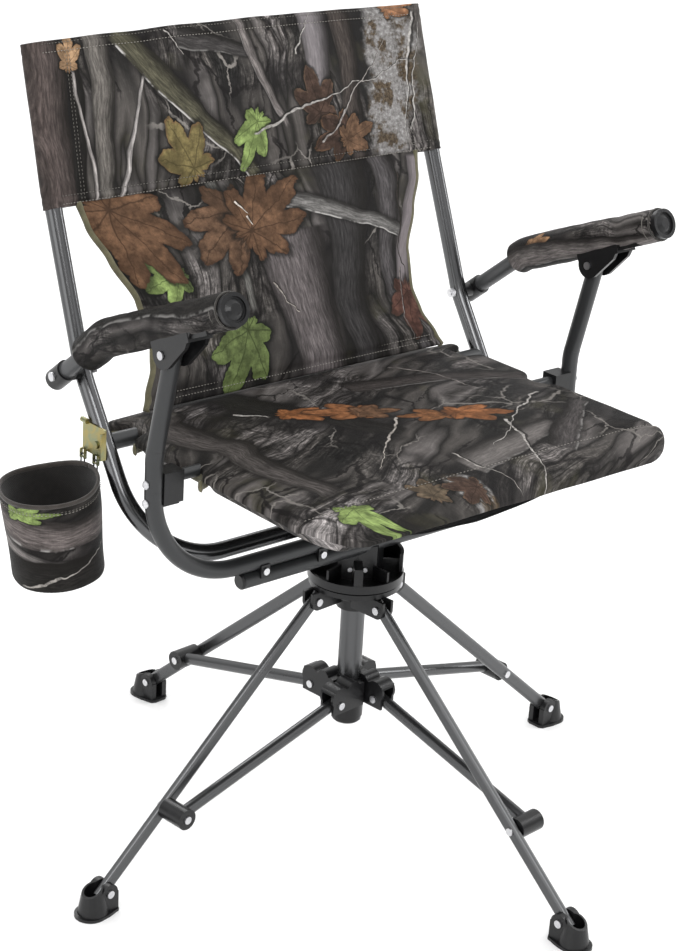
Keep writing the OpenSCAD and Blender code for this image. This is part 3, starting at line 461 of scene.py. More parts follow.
def make_mesh(name, points, faces, uvs, material, wrap=0.0):
    """points are in metres; uvs gives one (u, v) per point, in metres on the cloth.
    wrap is the distance round a tube, so that the faces that close it don't run the cloth backwards."""
    mesh = bpy.data.meshes.new(name)
    mesh.from_pydata([tuple(p) for p in points], [], faces)
    layer = mesh.uv_layers.new(name="cloth")
    for loop in mesh.loops:
        layer.data[loop.index].uv = uvs[loop.vertex_index]
    for polygon in mesh.polygons:
        polygon.use_smooth = True
        corners = [layer.data[i] for i in polygon.loop_indices]
        furthest = max(corner.uv.x for corner in corners)
        for corner in corners:
            if wrap and len(corners) == 4 and furthest - corner.uv.x > wrap / 2:
                corner.uv.x += wrap
    mesh.materials.append(material)
    made = bpy.data.objects.new(name, mesh)
    scene.collection.objects.link(made)
    return made


def tube_faces(rings, around):
    faces = [tuple(range(around - 1, -1, -1)), tuple(range((rings - 1) * around, rings * around))]
    for i in range(rings - 1):
        for j in range(around):
            k = (j + 1) % around
            faces.append((i * around + j, i * around + k, (i + 1) * around + k, (i + 1) * around + j))
    return faces


def rounded_path(points, radii, step=0.004):
    """Points along a path with rounded corners, about step apart."""
    out = []
    last = len(points) - 1
    marks = [points[0]]
    for i in range(1, last):
        a, b, c = points[i - 1], points[i], points[i + 1]
        into, away = (b - a).normalized(), (c - b).normalized()
        angle = into.angle(away)
        cut = radii[i - 1] * math.tan(angle / 2)
        inward = (away - into).normalized()
        centre = b + inward * (radii[i - 1] / math.cos(angle / 2))
        start = b - into * cut
        count = max(2, int(radii[i - 1] * angle / step))
        arm = start - centre
        axis = into.cross(away).normalized()
        marks += [centre + Matrix.Rotation(angle * k / count, 3, axis) @ arm for k in range(count + 1)]
    marks.append(points[last])
    for a, b in zip(marks, marks[1:]):
        count = max(1, int((b - a).length / step + 0.5))
        out += [a.lerp(b, k / count) for k in range(count)]
    out.append(marks[-1])
    return out


def path_lengths(path):
    run = [0.0]
    for a, b in zip(path, path[1:]):
        run.append(run[-1] + (b - a).length)
    return run


def place_on(path, run, distance):
    """The stretch of the path that holds a distance along it, and the point there."""
    low, high = 0, len(run) - 1
    while high - low > 1:
        middle = (low + high) // 2
        if run[middle] <= distance:
            low = middle
        else:
            high = middle
    share = (distance - run[low]) / max(run[low + 1] - run[low], 1e-9)
    return low, path[low].lerp(path[low + 1], share)


def frames_along(path, first_side):
    """A direction square to the path at each point, carried along without twist."""
    sides = []
    side = first_side
    for i in range(len(path)):
        a, b = path[max(i - 1, 0)], path[min(i + 1, len(path) - 1)]
        along = (b - a).normalized()
        side = (side - along * side.dot(along)).normalized()
        sides.append((along, side, along.cross(side)))
    return sides


def sweep(name, path, first_side, section, material):
    """section(distance, share) gives a list of (across, up) offsets in metres for each ring."""
    points, uvs = [], []
    run = path_lengths(path)
    for i, (place, (_, side, up)) in enumerate(zip(path, frames_along(path, first_side))):
        ring = section(run[i], run[i] / run[-1])
        length = 0.0
        for j, (u, v) in enumerate(ring):
            if j:
                length += math.hypot(u - ring[j - 1][0], v - ring[j - 1][1])
            points.append(place + side * u + up * v)
            uvs.append((length, run[i]))
    wrap = length + math.hypot(ring[0][0] - ring[-1][0], ring[0][1] - ring[-1][1])
    return make_mesh(name, points, tube_faces(len(path), len(ring)), uvs, material, wrap)


def oval(wide, high, count=12):
    return [
        (wide / 2 * math.cos(2 * math.pi * k / count), high / 2 * math.sin(2 * math.pi * k / count))
        for k in range(count)
    ]


def strip(name, path, first_side, wide, high, material, count=12):
    return sweep(name, path, first_side, lambda d, s: oval(wide, high, count), material)


def stitches(name, path, material, pitch=0.0042, length=0.0031, radius=0.00055, normal=None):
    """A row of separate stitches along a path, each a small lozenge sunk at both ends."""
    points, faces, uvs = [], [], []
    run = path_lengths(path)
    for k in range(int(run[-1] / pitch)):
        _, a = place_on(path, run, k * pitch)
        _, b = place_on(path, run, min(run[-1], k * pitch + length))
        if (b - a).length < 1e-6:
            continue
        mid = a.lerp(b, 0.5)
        out = normal(mid) if normal else Vector((0, 0, 1))
        side = (b - a).normalized().cross(out).normalized()
        base = len(points)
        points += [a, b]
        for angle in range(6):
            turn = angle * math.pi / 3
            points.append(mid + (side * math.cos(turn) + out * math.sin(turn)) * radius)
        for angle in range(6):
            other = (angle + 1) % 6
            faces.append((base, base + 2 + angle, base + 2 + other))
            faces.append((base + 1, base + 2 + other, base + 2 + angle))
        uvs += [(0.0, k * pitch)] * 8
    return make_mesh(name, points, faces, uvs, material)


def pouch_faces(w, h):
    """Faces over two layers of h rows with w points each, closed round the edge."""
    faces = []

    def index(layer, i, j):
        return layer * w * h + j * w + i

    for j in range(h - 1):
        for i in range(w - 1):
            faces.append((index(0, i, j), index(0, i + 1, j), index(0, i + 1, j + 1), index(0, i, j + 1)))
            faces.append((index(1, i, j), index(1, i, j + 1), index(1, i + 1, j + 1), index(1, i + 1, j)))
    for i in range(w - 1):
        faces.append((index(0, i + 1, 0), index(0, i, 0), index(1, i, 0), index(1, i + 1, 0)))
        faces.append((index(0, i, h - 1), index(0, i + 1, h - 1), index(1, i + 1, h - 1), index(1, i, h - 1)))
    for j in range(h - 1):
        faces.append((index(0, 0, j), index(0, 0, j + 1), index(1, 0, j + 1), index(1, 0, j)))
        faces.append((index(0, w - 1, j + 1), index(0, w - 1, j), index(1, w - 1, j), index(1, w - 1, j + 1)))
    return faces


def closed_grid(name, columns, rows, front, back, uv, material, back_uv=None):
    """A flat closed pouch: front(u, v) and back(u, v) surfaces that meet round the edge.
    columns and rows are lists of shares from 0 to 1. back_uv places the print on the back, where it differs."""
    points, uvs = [], []
    for surface, place in ((front, uv), (back, back_uv or uv)):
        for v in rows:
            points += [surface(u, v) for u in columns]
            uvs += [place(u, v) for u in columns]
    return make_mesh(name, points, pouch_faces(len(columns), len(rows)), uvs, material)


def edge_dense(count, power=1.7):
    """Shares from 0 to 1 that crowd towards both ends."""
    out = []
    for k in range(count + 1):
        t = 2 * k / count - 1
        out.append(0.5 + 0.5 * math.copysign(1 - (1 - abs(t)) ** power, t))
    return out


def subdivide(obj):
    made = obj.modifiers.new("Subdivision", "SUBSURF")
    made.levels = made.render_levels = 1


def inflate(obj, pinned, pressure, limit, frames=18, stiffness=18.0, bending=0.6):
    """Blows a closed pouch up as cloth, held where pinned(point) is near 1, and never further than limit."""
    group = obj.vertex_groups.new(name="held")
    rest = [v.co.copy() for v in obj.data.vertices]
    for v in obj.data.vertices:
        weight = clamp01(pinned(v.co))
        if weight > 0.01:
            group.add([v.index], weight, "REPLACE")
    cloth = obj.modifiers.new("Cloth", "CLOTH")
    settings = cloth.settings
    settings.quality = 5
    settings.mass = 0.25
    settings.tension_stiffness = settings.compression_stiffness = stiffness
    settings.shear_stiffness = stiffness * 0.5
    settings.bending_stiffness = bending
    settings.use_pressure = True
    settings.uniform_pressure_force = pressure
    settings.vertex_group_mass = "held"
    settings.effector_weights.gravity = 0.0
    cloth.collision_settings.use_collision = False
    cloth.point_cache.frame_start, cloth.point_cache.frame_end = 1, frames
    for f in range(1, frames + 1):
        scene.frame_set(f)
    graph = bpy.context.evaluated_depsgraph_get()
    moved = [v.co.copy() for v in obj.evaluated_get(graph).data.vertices]
    obj.modifiers.remove(cloth)
    scene.frame_set(1)
    for v, start, end in zip(obj.data.vertices, rest, moved):
        step = end - start
        if step.length > limit:
            step = step.normalized() * limit
        v.co = start + step
    obj.data.update()


SIDES = ((-1, "right"), (1, "left"))


def dress(names, material):
    for name in names:
        mesh = nodes[name].data
        mesh.materials.clear()
        mesh.materials.append(material)
        for polygon in mesh.polygons:
            polygon.material_index = 0


# ------------------------------------------------------------------ materials

black_plastic = plastic("black plastic", (0.0065, 0.0065, 0.007), 0.30)
foot_plastic = plastic("foot plastic", (0.007, 0.007, 0.0075), 0.36, 500.0, 0.3)
leg_metal = metal("leg coat", (0.082, 0.083, 0.085), 0.28, 0.85)
upright_metal = metal("upright coat", (0.082, 0.083, 0.085), 0.22, 0.95, coat=0.1)
frame_metal = metal("frame coat", (0.022, 0.023, 0.024), 0.36, 0.25)
arm_metal = metal("arm coat", (0.055, 0.056, 0.058), 0.38, 0.35)
steel = plated("zinc screws", (0.62, 0.62, 0.63), (0.50, 0.50, 0.52), 0.24)
yellow_zinc = plated("yellow zinc", (0.34, 0.28, 0.11), (0.24, 0.26, 0.16), 0.26)
binding = plain_cloth("olive binding", (0.115, 0.105, 0.060), 1100.0, 0.75, ribs=650.0)
sling_cloth = plain_cloth("black webbing", (0.014, 0.014, 0.015), 700.0, 0.7)
piping_cloth = plain_cloth("dark piping", (0.035, 0.032, 0.028), 1100.0, 0.7)
pale_thread = thread_material("grey thread", (0.30, 0.28, 0.25))
dark_thread = thread_material("dark thread", (0.14, 0.13, 0.115))
cup_lining = plain_cloth("dark lining", (0.014, 0.0125, 0.0115), 900.0, 0.7)
cup_hem_cloth = plain_cloth("cup hem", (0.036, 0.030, 0.026), 900.0, 0.7)
cord_black = plain_cloth("black cord", (0.012, 0.012, 0.013), 1400.0, 0.6)

back_print_and_painted_light = fabric("back print and painted light", [
    # Broad grey bough at the foot of the panel, palest in its middle: partly print, partly a painted highlight
    # for the satin glow of the padded bulge.
    (branch, 0.02, 0.16, -86, 0.18, 0.050, (0.105, 0.092, 0.092), 0.0),
    (branch, 0.105, 0.235, -92, 0.25, 0.034, (0.030, 0.028, 0.028), 0.0),
    (branch, 0.155, 0.235, -82, 0.25, 0.016, (0.060, 0.055, 0.056), 0.0),
    (branch, 0.218, 0.225, -97, 0.19, 0.022, (0.17, 0.15, 0.155), 0.0, 0.3),
    (branch, 0.02, 0.205, -20, 0.18, 0.012, (0.13, 0.125, 0.12), 0.8),
    (branch, -0.062, 0.235, -88, 0.15, 0.009, (0.10, 0.097, 0.090), 0.0),
    (leaf, 0.192, 0.052, 250, 0.040, (0.085, 0.040, 0.030), BROWN),
    # Lime leaf given the darkened lime colour: painted shade.
    (leaf, -0.085, 0.040, 245, 0.052, LIME_IN_PAINTED_SHADE, LIME_RIM),
    (leaf, -0.165, 0.135, 190, 0.034, LIME, LIME_RIM),
    (leaf, -0.172, 0.190, -66, 0.068, RUST, RUST_RIM, 0.8, 38.0, 0.36),
    (leaf, -0.060, 0.180, 215, 0.058, (0.105, 0.060, 0.036), RUST_RIM, 0.8, 40.0, 0.38),
    (leaf, -0.006, 0.190, 35, 0.060, RUST, RUST_RIM, 0.8, 38.0, 0.40),
    (twig, -0.040, 0.208, -52, 0.020, 0.0012, (0.60, 0.55, 0.50), 0.004),
    (twig, -0.030, 0.190, -75, 0.012, 0.0012, (0.60, 0.55, 0.50), 0.004),
    (twig, 0.175, 0.21, -78, 0.14, 0.0010, (0.03, 0.024, 0.02)),
    (twig, 0.19, 0.10, -100, 0.09, 0.0010, (0.22, 0.19, 0.18)),
    (twig, -0.02, 0.11, -50, 0.05, 0.0012),
], dark=0.9, offset=(0.33, 0.12))

sleeve_print = fabric("sleeve print", [
    (branch, -0.262, 0.19, -91, 0.21, 0.024, (0.066, 0.052, 0.048), 0.0, 1.0, 0.9),
    (branch, -0.228, 0.19, -92, 0.21, 0.010, BLACK_BARK, 0.0),
    (branch, -0.193, 0.19, -94, 0.20, 0.017, (0.115, 0.105, 0.095), 0.0),
    (branch, 0.112, 0.19, -93, 0.13, 0.022, SMOOTH_BARK, 0.0, 0.4),
    (branch, 0.150, 0.19, -89, 0.20, 0.018, (0.045, 0.037, 0.033), 0.0),
    (birch_patch, 0.222, 0.115, 0.046),
    (birch_patch, 0.205, 0.040, 0.034),
    (branch, -0.085, 0.160, -14, 0.11, 0.012, (0.040, 0.037, 0.036), 0.25),
    (branch, 0.000, 0.185, -70, 0.14, 0.0075, (0.14, 0.125, 0.12), 0.2),
    (branch, -0.163, 0.176, -47.5, 0.235, 0.0165, MOSSY, 1.0),
    (branch, -0.222, 0.004, 93, 0.16, 0.0028, (0.26, 0.24, 0.23), 0.3),
    (branch, -0.190, 0.004, 66, 0.13, 0.0034, (0.28, 0.26, 0.25), 0.3),
    (leaf, 0.097, 0.080, 100, 0.036, BROWN, BROWN_RIM),
    (leaf, 0.120, 0.034, 200, 0.034, BROWN, TAN_RIM),
    (leaf, 0.150, 0.032, 20, 0.028, (0.13, 0.075, 0.045), TAN_RIM),
    (leaf, -0.098, 0.040, 118, 0.043, OLIVE_LEAF, TAN_RIM),
    (leaf, -0.002, 0.045, 243, 0.038, LIME, LIME_RIM, 0.62),
    (leaf, -0.232, 0.160, 80, 0.024, TAN, TAN_RIM, 0.6),
    (leaf, 0.245, 0.176, 10, 0.032, (0.30, 0.15, 0.08), TAN_RIM, 0.5),
    (twig, 0.004, 0.050, 14, 0.265, 0.0015, PALE),
    (twig, 0.100, 0.030, 42, 0.16, 0.0012, (0.36, 0.33, 0.31)),
    (twig, 0.262, 0.165, -103, 0.15, 0.0020, (0.42, 0.40, 0.38)),
    (twig, 0.240, 0.03, 75, 0.13, 0.0012, (0.40, 0.38, 0.36)),
    (twig, 0.080, 0.130, 62, 0.055, 0.0011, PALE),
    (twig, -0.100, 0.172, -62, 0.035, 0.0013, PALE),
], dark=1.1, offset=(0.1, 0.4))

seat_print = fabric("seat print", [
    (branch, -0.222, 0.090, -84, 0.26, 0.024, (0.055, 0.049, 0.046), 0.0),
    (branch, -0.145, 0.130, -62, 0.25, 0.024, BLACK_BARK, 0.0),
    (branch, -0.02, -0.185, 12, 0.17, 0.024, (0.115, 0.105, 0.10), 0.3, 0.5),
    (branch, 0.02, 0.05, -12, 0.24, 0.020, (0.036, 0.031, 0.029), 0.2),
    (branch, 0.11, -0.20, 38, 0.16, 0.017, (0.048, 0.043, 0.042), 0.3),
    (birch_patch, -0.055, -0.230, 0.022),
    (leaf, -0.080, 0.010, -35, 0.040, ORANGE, ORANGE_RIM, 0.50),
    (leaf, -0.040, -0.008, 150, 0.044, (0.20, 0.085, 0.036), ORANGE_RIM, 0.55),
    (leaf, -0.012, -0.024, -20, 0.032, RUST, ORANGE_RIM, 0.6),
    (leaf, 0.036, -0.066, 155, 0.038, (0.17, 0.075, 0.032), ORANGE_RIM, 0.45),
    (leaf, 0.086, -0.086, -25, 0.044, ORANGE, ORANGE_RIM, 0.55),
    (leaf, -0.208, -0.222, 240, 0.036, LIME, LIME_RIM, 0.62),
    (leaf, -0.100, -0.210, 60, 0.026, (0.10, 0.075, 0.05), BROWN_RIM),
    (leaf, -0.060, -0.222, 160, 0.026, BROWN, BROWN_RIM),
    (twig, 0.000, -0.055, -140, 0.15, 0.0016, (0.36, 0.33, 0.30)),
    (twig, 0.100, -0.120, -112, 0.14, 0.0020, PALE),
    (twig, 0.205, -0.060, -147, 0.20, 0.0016, (0.36, 0.34, 0.32)),
    (twig, 0.120, 0.085, -70, 0.13, 0.0012, (0.28, 0.25, 0.23)),
    (twig, -0.145, 0.055, -38, 0.04, 0.0022, (0.40, 0.38, 0.36)),
    (twig, -0.02, -0.16, -72, 0.09, 0.0014, (0.32, 0.30, 0.28)),
], dark=0.85, offset=(0.2, 0.1), turn=1.15)

arm_left_print = fabric("left arm print", [
    (leaf, 0.086, 0.055, 95, 0.022, (0.30, 0.17, 0.09), TAN_RIM, 0.55),
    (branch, 0.102, -0.03, 89, 0.40, 0.015, (0.15, 0.135, 0.13), 0.3),
    (branch, 0.03, 0.02, 88, 0.22, 0.014, (0.055, 0.045, 0.040), 0.2),
], dark=0.9, offset=(0.4, 0.2), zoom=1.4)

arm_right_print = fabric("right arm print", [
    (branch, 0.070, -0.03, 91, 0.40, 0.018, BLACK_BARK, 0.3, 1.0, 0.95),
], dark=0.6, offset=(0.7, 0.5), zoom=1.4)

cup_print = fabric("cup print", [
    (branch, 0.10, 0.086, -6, 0.21, 0.024, (0.105, 0.090, 0.086), 0.5),
    (branch, 0.10, 0.058, -9, 0.21, 0.009, (0.26, 0.24, 0.23), 0.5),
    (branch, 0.10, 0.018, 1, 0.22, 0.024, BLACK_BARK, 0.0, 1.0, 0.9),
    (twig, 0.17, 0.010, 16, 0.12, 0.0016, (0.30, 0.28, 0.26)),
    (leaf, 0.190, 0.098, 2, 0.034, LIME, LIME_RIM, 0.30),
], dark=0.6, offset=(0.1, 0.3), turn=1.35)

dress(["centre_post", *[f"{p}_{k}" for p in ("leg", "strut") for k in range(1, 5)]], leg_metal)
dress([f"foot_{k}" for k in range(1, 5)], foot_plastic)
dress(["post_end_cap", "upper_hub", "lower_hub", "turret", "turret_clamp", "cross_tube_plugs", "swivel_race",
       "seat_blocks", "arm_end_fittings", "arm_brackets", "arm_end_caps", "frame_clips",
       *[f"strut_{k}_barrel" for k in range(1, 5)]], black_plastic)
dress(["upper_hub_pins", "lower_hub_pins", "swivel_bolt", "turret_screws", "frame_clip_screws",
       "seat_block_bolts", "arm_pivot_bolts", "arm_bracket_screws",
       *[f"leg_{k}_rivets" for k in range(1, 5)], *[f"strut_{k}_screw" for k in range(1, 5)]], steel)
dress(["cross_tube", "front_frame", "seat_rear_bar", "seat_mid_bar", "seat_rails"], frame_metal)
dress(["rear_frame"], upright_metal)
dress(["arm_tubes"], arm_metal)
dress(["accessory_bracket"], yellow_zinc)


# ------------------------------------------------------------------ seat cushion

SEAT_HALF, SEAT_FRONT, SEAT_REAR = 0.263, -0.2445, 0.1365
SEAT_CORNER = 0.062
STITCH_Y = -0.197
NOTCHES = ((-0.018, 0.022, 0.014), (0.100, 0.022, 0.020))


def seat_half(y):
    """Half the cushion's width at a place from front to rear, with its corners and bound cut-outs."""
    half = SEAT_HALF - 0.004 * clamp01((y - SEAT_FRONT) / 0.38) ** 2
    into = SEAT_FRONT + SEAT_CORNER - y
    if into > 0:
        half -= SEAT_CORNER - math.sqrt(max(0.0, SEAT_CORNER**2 - into**2))
    into = y - (SEAT_REAR - 0.012)
    if into > 0:
        half -= 0.012 - math.sqrt(max(0.0, 0.012**2 - into**2))
    for place, reach, depth in NOTCHES:
        half -= depth * smooth((reach - abs(y - place)) / 0.006)
    return half


def seat_surface(top):
    def point(u, v):
        y = lerp(SEAT_FRONT, SEAT_REAR, v)
        half = seat_half(y)
        x = (2 * u - 1) * half
        side = abs(2 * u - 1)
        front = clamp01(1 - (y - SEAT_FRONT) / 0.048)
        edge = min(half - abs(x), y - SEAT_FRONT, SEAT_REAR - y)
        round_ = clamp01(1 - edge / 0.016)
        rounding = 1 - math.sqrt(max(0.0, 1 - round_ * round_))
        z = 0.5085 - 0.0055 * side**3 * (1 - front) - 0.0175 * front**2 - 0.0065 * rounding
        z -= 0.0028 * math.exp(-((y - STITCH_Y) / 0.005) ** 2)
        z += 0.0012 * wrinkle(Vector((x, y, 0.3)), 16.0)
        if not top:
            low = 0.4775 - 0.0065 * front
            z = min(z - 0.0045, lerp(low, z - 0.0045, round_))
        return Vector((x, y, z))

    return point


def seat_cloth(u, v):
    return (2 * u - 1) * SEAT_HALF, lerp(SEAT_FRONT, SEAT_REAR, v)


def seat_cloth_under(u, v):
    """The print runs on round the nearest edge instead of coming back as its own mirror image."""
    x, y = seat_cloth(u, v)
    if y - SEAT_FRONT < SEAT_HALF - abs(x):
        return x, 2 * SEAT_FRONT - y
    return math.copysign(2 * SEAT_HALF - abs(x), x), y


def build_seat():
    columns, rows = edge_dense(96), edge_dense(76)
    seat = closed_grid(
        "seat_pad", columns, rows, seat_surface(True), seat_surface(False),
        seat_cloth, seat_print, seat_cloth_under,
    )

    def pinned(p):
        half = seat_half(p.y)
        edge = min(half - abs(p.x), p.y - SEAT_FRONT, SEAT_REAR - p.y)
        held = 1 - smooth(edge / 0.02)
        held = max(held, 1 - smooth(abs(p.y - STITCH_Y) / 0.006))
        return max(held, 1.0 if p.z < 0.482 else 0.0)

    inflate(seat, pinned, 2.5, 0.006)
    subdivide(seat)
    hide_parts("seat_cushion")
    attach(seat, "seat_body")
    top = seat_surface(True)
    row = (STITCH_Y - SEAT_FRONT) / (SEAT_REAR - SEAT_FRONT)
    path = [top(u / 160, row) + Vector((0, 0, 0.0008)) for u in range(3, 158)]
    line = stitches("seat_stitch_front", path, pale_thread, 0.0050, 0.0034)
    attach(line, "seat_body")
    build_seat_binding()


def build_seat_binding():
    """Olive tape round each cut-out in the side of the cushion."""
    for side, tag in SIDES:
        for k, (place, reach, _) in enumerate(NOTCHES):
            path = []
            for step in range(-15, 16):
                y = place + (reach + 0.003) * step / 15
                if y > SEAT_REAR - 0.004:
                    continue
                half = seat_half(y)
                path.append(Vector((side * (half - 0.0015), y, 0.4875 if k else 0.4865)))
            tape = strip(f"seat_binding_{tag}_{k + 1}", path, Vector((0, 0, 1)), 0.013, 0.0045, binding)
            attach(tape, "seat_body")


# ------------------------------------------------------------------ back panel and sleeve

UPRIGHT = [mm(0, 116, 510), mm(0, 213, 722), mm(0, 264.7, 885)]
BACK_PATH = rounded_path(UPRIGHT, [0.03], 0.003)
BACK_RUN = path_lengths(BACK_PATH)


def back_at_height(z):
    """Distance along the upright line at a given height."""
    for (a, b), run in zip(zip(BACK_PATH, BACK_PATH[1:]), BACK_RUN):
        if a.z <= z <= b.z:
            return run + (b - a).length * (z - a.z) / (b.z - a.z)
    return BACK_RUN[-1]


def back_point(distance):
    """Point on the upright line, and the direction that faces the sitter there."""
    low, place = place_on(BACK_PATH, BACK_RUN, max(0.0, min(BACK_RUN[-1] - 1e-6, distance)))
    before, after = BACK_PATH[max(low - 4, 0)], BACK_PATH[min(low + 5, len(BACK_PATH) - 1)]
    along = (after - before).normalized()
    return place, Vector((0, -along.z, along.y)), along


PANEL_LOW, PANEL_TOP = 0.0, back_at_height(0.730)
WAIST_HEIGHTS = ((0.500, 0.2235), (0.5225, 0.2115), (0.550, 0.196), (0.577, 0.1895), (0.620, 0.196),
                 (0.663, 0.219), (0.698, 0.2375), (0.735, 0.246))


def panel_half(z):
    for (z0, w0), (z1, w1) in zip(WAIST_HEIGHTS, WAIST_HEIGHTS[1:]):
        if z <= z1:
            share = (z - z0) / (z1 - z0)
            return lerp(w0, w1, smooth(share) * 0.5 + 0.5 * clamp01(share))
    return WAIST_HEIGHTS[-1][1]


def panel_surface(front):
    def point(u, v):
        distance = lerp(PANEL_LOW, PANEL_TOP, v)
        place, out, _ = back_point(distance)
        half = panel_half(place.z)
        x = (2 * u - 1) * half
        edge = min(half - abs(x), (distance - PANEL_LOW) * 1.4 + 0.001, (PANEL_TOP - distance) + 0.02)
        puff = math.sqrt(max(0.0, 1 - clamp01(1 - edge / 0.035) ** 2))
        tucked = smooth((distance - PANEL_TOP + 0.022) / 0.02)
        offset = 0.0045 + lerp(0.0065, 0.0, tucked) * puff if front else 0.0005 - 0.005 * puff
        hem = math.exp(-(((distance - PANEL_LOW) - 0.011) / 0.003) ** 2)
        offset -= (0.003 if front else 0.0) * hem
        offset += 0.001 * wrinkle(Vector((x, distance, 1.0)), 14.0)
        return Vector((x, 0, 0)) + place + out * offset

    return point


def build_back_panel():
    columns, rows = edge_dense(84), edge_dense(52, 1.3)
    panel = closed_grid(
        "back_pad", columns, rows, panel_surface(True), panel_surface(False),
        lambda u, v: ((2 * u - 1) * 0.21, lerp(PANEL_LOW, PANEL_TOP, v) - PANEL_LOW), back_print_and_painted_light,
    )

    def pinned(p):
        half = panel_half(p.z)
        low, _, _ = back_point(PANEL_LOW)
        held = 1 - smooth((half - abs(p.x)) / 0.012)
        held = max(held, 1 - smooth((p.z - low.z) / 0.014))
        return max(held, smooth((p.z - 0.706) / 0.01))

    inflate(panel, pinned, 2.2, 0.007)
    subdivide(panel)
    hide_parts("back_panel")
    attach(panel, "seat_body")
    steps = 90
    for side, tag in SIDES:
        path = []
        for k in range(steps + 1):
            place, out, _ = back_point(lerp(PANEL_LOW, PANEL_TOP, k / steps))
            path.append(Vector((side * panel_half(place.z), 0, 0)) + place + out * 0.003)
        edge = strip(f"back_binding_{tag}", path, Vector((1, 0, 0)), 0.0085, 0.007, binding)
        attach(edge, "seat_body")
    surface = panel_surface(True)
    for k, rise in enumerate((0.008, 0.0145)):
        row = rise / (PANEL_TOP - PANEL_LOW)
        _, out, _ = back_point(PANEL_LOW + rise)
        path = [surface(u / 160, row) + out * 0.001 for u in range(3, 158)]
        line = stitches(f"back_stitch_{k + 1}", path, pale_thread, normal=lambda p, out=out: out)
        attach(line, "seat_body")


SLEEVE_LOW, SLEEVE_TOP = back_at_height(0.7210), back_at_height(0.8845) + 0.004
SLEEVE_REACH = 0.0118


def upright_x(share):
    """Half the distance between the uprights' axes at a share of the sleeve's height."""
    return lerp(0.2738, 0.2690, share)


def seam_x(share):
    return upright_x(share) - lerp(0.034, 0.039, share)


def sleeve_offset(x, tube_x, front):
    """How far the sleeve's cloth stands from the upright line: round over the tubes, flat between."""
    from_tube = abs(x) - tube_x
    over = math.sqrt(max(0.0, SLEEVE_REACH**2 - max(from_tube, 0.0) ** 2))
    flat = 0.0085 if front else 0.0065
    return lerp(over, flat, smooth((-from_tube - 0.001) / 0.024))


def sleeve_surface(front):
    def point(u, v):
        tube_x = upright_x(v)
        x = (2 * u - 1) * (tube_x + SLEEVE_REACH)
        bow = 0.004 * (1 - (x / 0.28) ** 2) + 0.0010 * wrinkle(Vector((x, 0, 5)), 18.0)
        distance = lerp(SLEEVE_LOW, SLEEVE_TOP, v) + bow * v**2
        place, out, _ = back_point(distance)
        offset = sleeve_offset(x, tube_x, front)
        rim = min(v, 1 - v) * (SLEEVE_TOP - SLEEVE_LOW)
        if abs(x) < tube_x - 0.015:
            offset *= lerp(0.55, 1.0, smooth(rim / 0.006))
        for stitched in (0.0035, 0.0125):
            offset -= 0.0012 * math.exp(-((rim - stitched) / 0.0014) ** 2)
        offset -= 0.0024 * math.exp(-((abs(x) - seam_x(v)) / 0.0025) ** 2)
        offset += 0.0013 * wrinkle(Vector((x * 0.6, distance, 2.0 if front else 4.0)), 22.0)
        past = max(0.0, distance - BACK_RUN[-1] + 1e-5)
        return Vector((x, 0, 0)) + place + out * (offset if front else -offset) + mm(0, 302, 953) * past

    return point


def build_back_sleeve():
    columns, rows = edge_dense(120, 1.5), edge_dense(44, 1.5)
    sleeve = closed_grid(
        "back_cover", columns, rows, sleeve_surface(True), sleeve_surface(False),
        lambda u, v: ((2 * u - 1) * 0.284, lerp(SLEEVE_LOW, SLEEVE_TOP, v) - SLEEVE_LOW), sleeve_print,
    )
    low_z, top_z = 0.7210, 0.8885

    def pinned(p):
        held = smooth((abs(p.x) - 0.245) / 0.010)
        held = max(held, 1 - smooth((abs(abs(p.x) - 0.235)) / 0.009))
        held = max(held, 1 - smooth((p.z - low_z - 0.010) / 0.008))
        return max(held, 1 - smooth((top_z - 0.010 - p.z) / 0.008))

    inflate(sleeve, pinned, 1.6, 0.005)
    subdivide(sleeve)
    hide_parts("back_sleeve")
    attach(sleeve, "seat_body")
    surface = sleeve_surface(True)
    span = SLEEVE_TOP - SLEEVE_LOW
    for k, rise in enumerate((0.0035, 0.0125, span - 0.0125, span - 0.0035)):
        _, out, _ = back_point(SLEEVE_LOW + rise)
        path = [surface(u / 200, rise / span) + out * 0.0011 for u in range(6, 195)]
        line = stitches(f"cover_stitch_{k + 1}", path, dark_thread if k % 2 else pale_thread,
                        normal=lambda p, out=out: out)
        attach(line, "seat_body")
    for side, tag in SIDES:
        for k, aside in enumerate((-0.002, 0.002)):
            path = []
            for row in range(2, 59):
                share = row / 60
                u = 0.5 + side * (seam_x(share) + aside) / (upright_x(share) + SLEEVE_REACH) / 2
                _, out, _ = back_point(lerp(SLEEVE_LOW, SLEEVE_TOP, share))
                path.append(surface(u, share) + out * 0.0011)
            line = stitches(f"cover_seam_{tag}_{k + 1}", path, dark_thread,
                            normal=lambda p: Vector((0, -0.95, 0.3)))
            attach(line, "seat_body")


# ------------------------------------------------------------------ arm covers

ARM_PIVOT, ARM_BEND, ARM_FRONT = mm(0, 149.5, 559), mm(0, 68, 624), mm(0, -136, 711)
ARM_X = 0.304


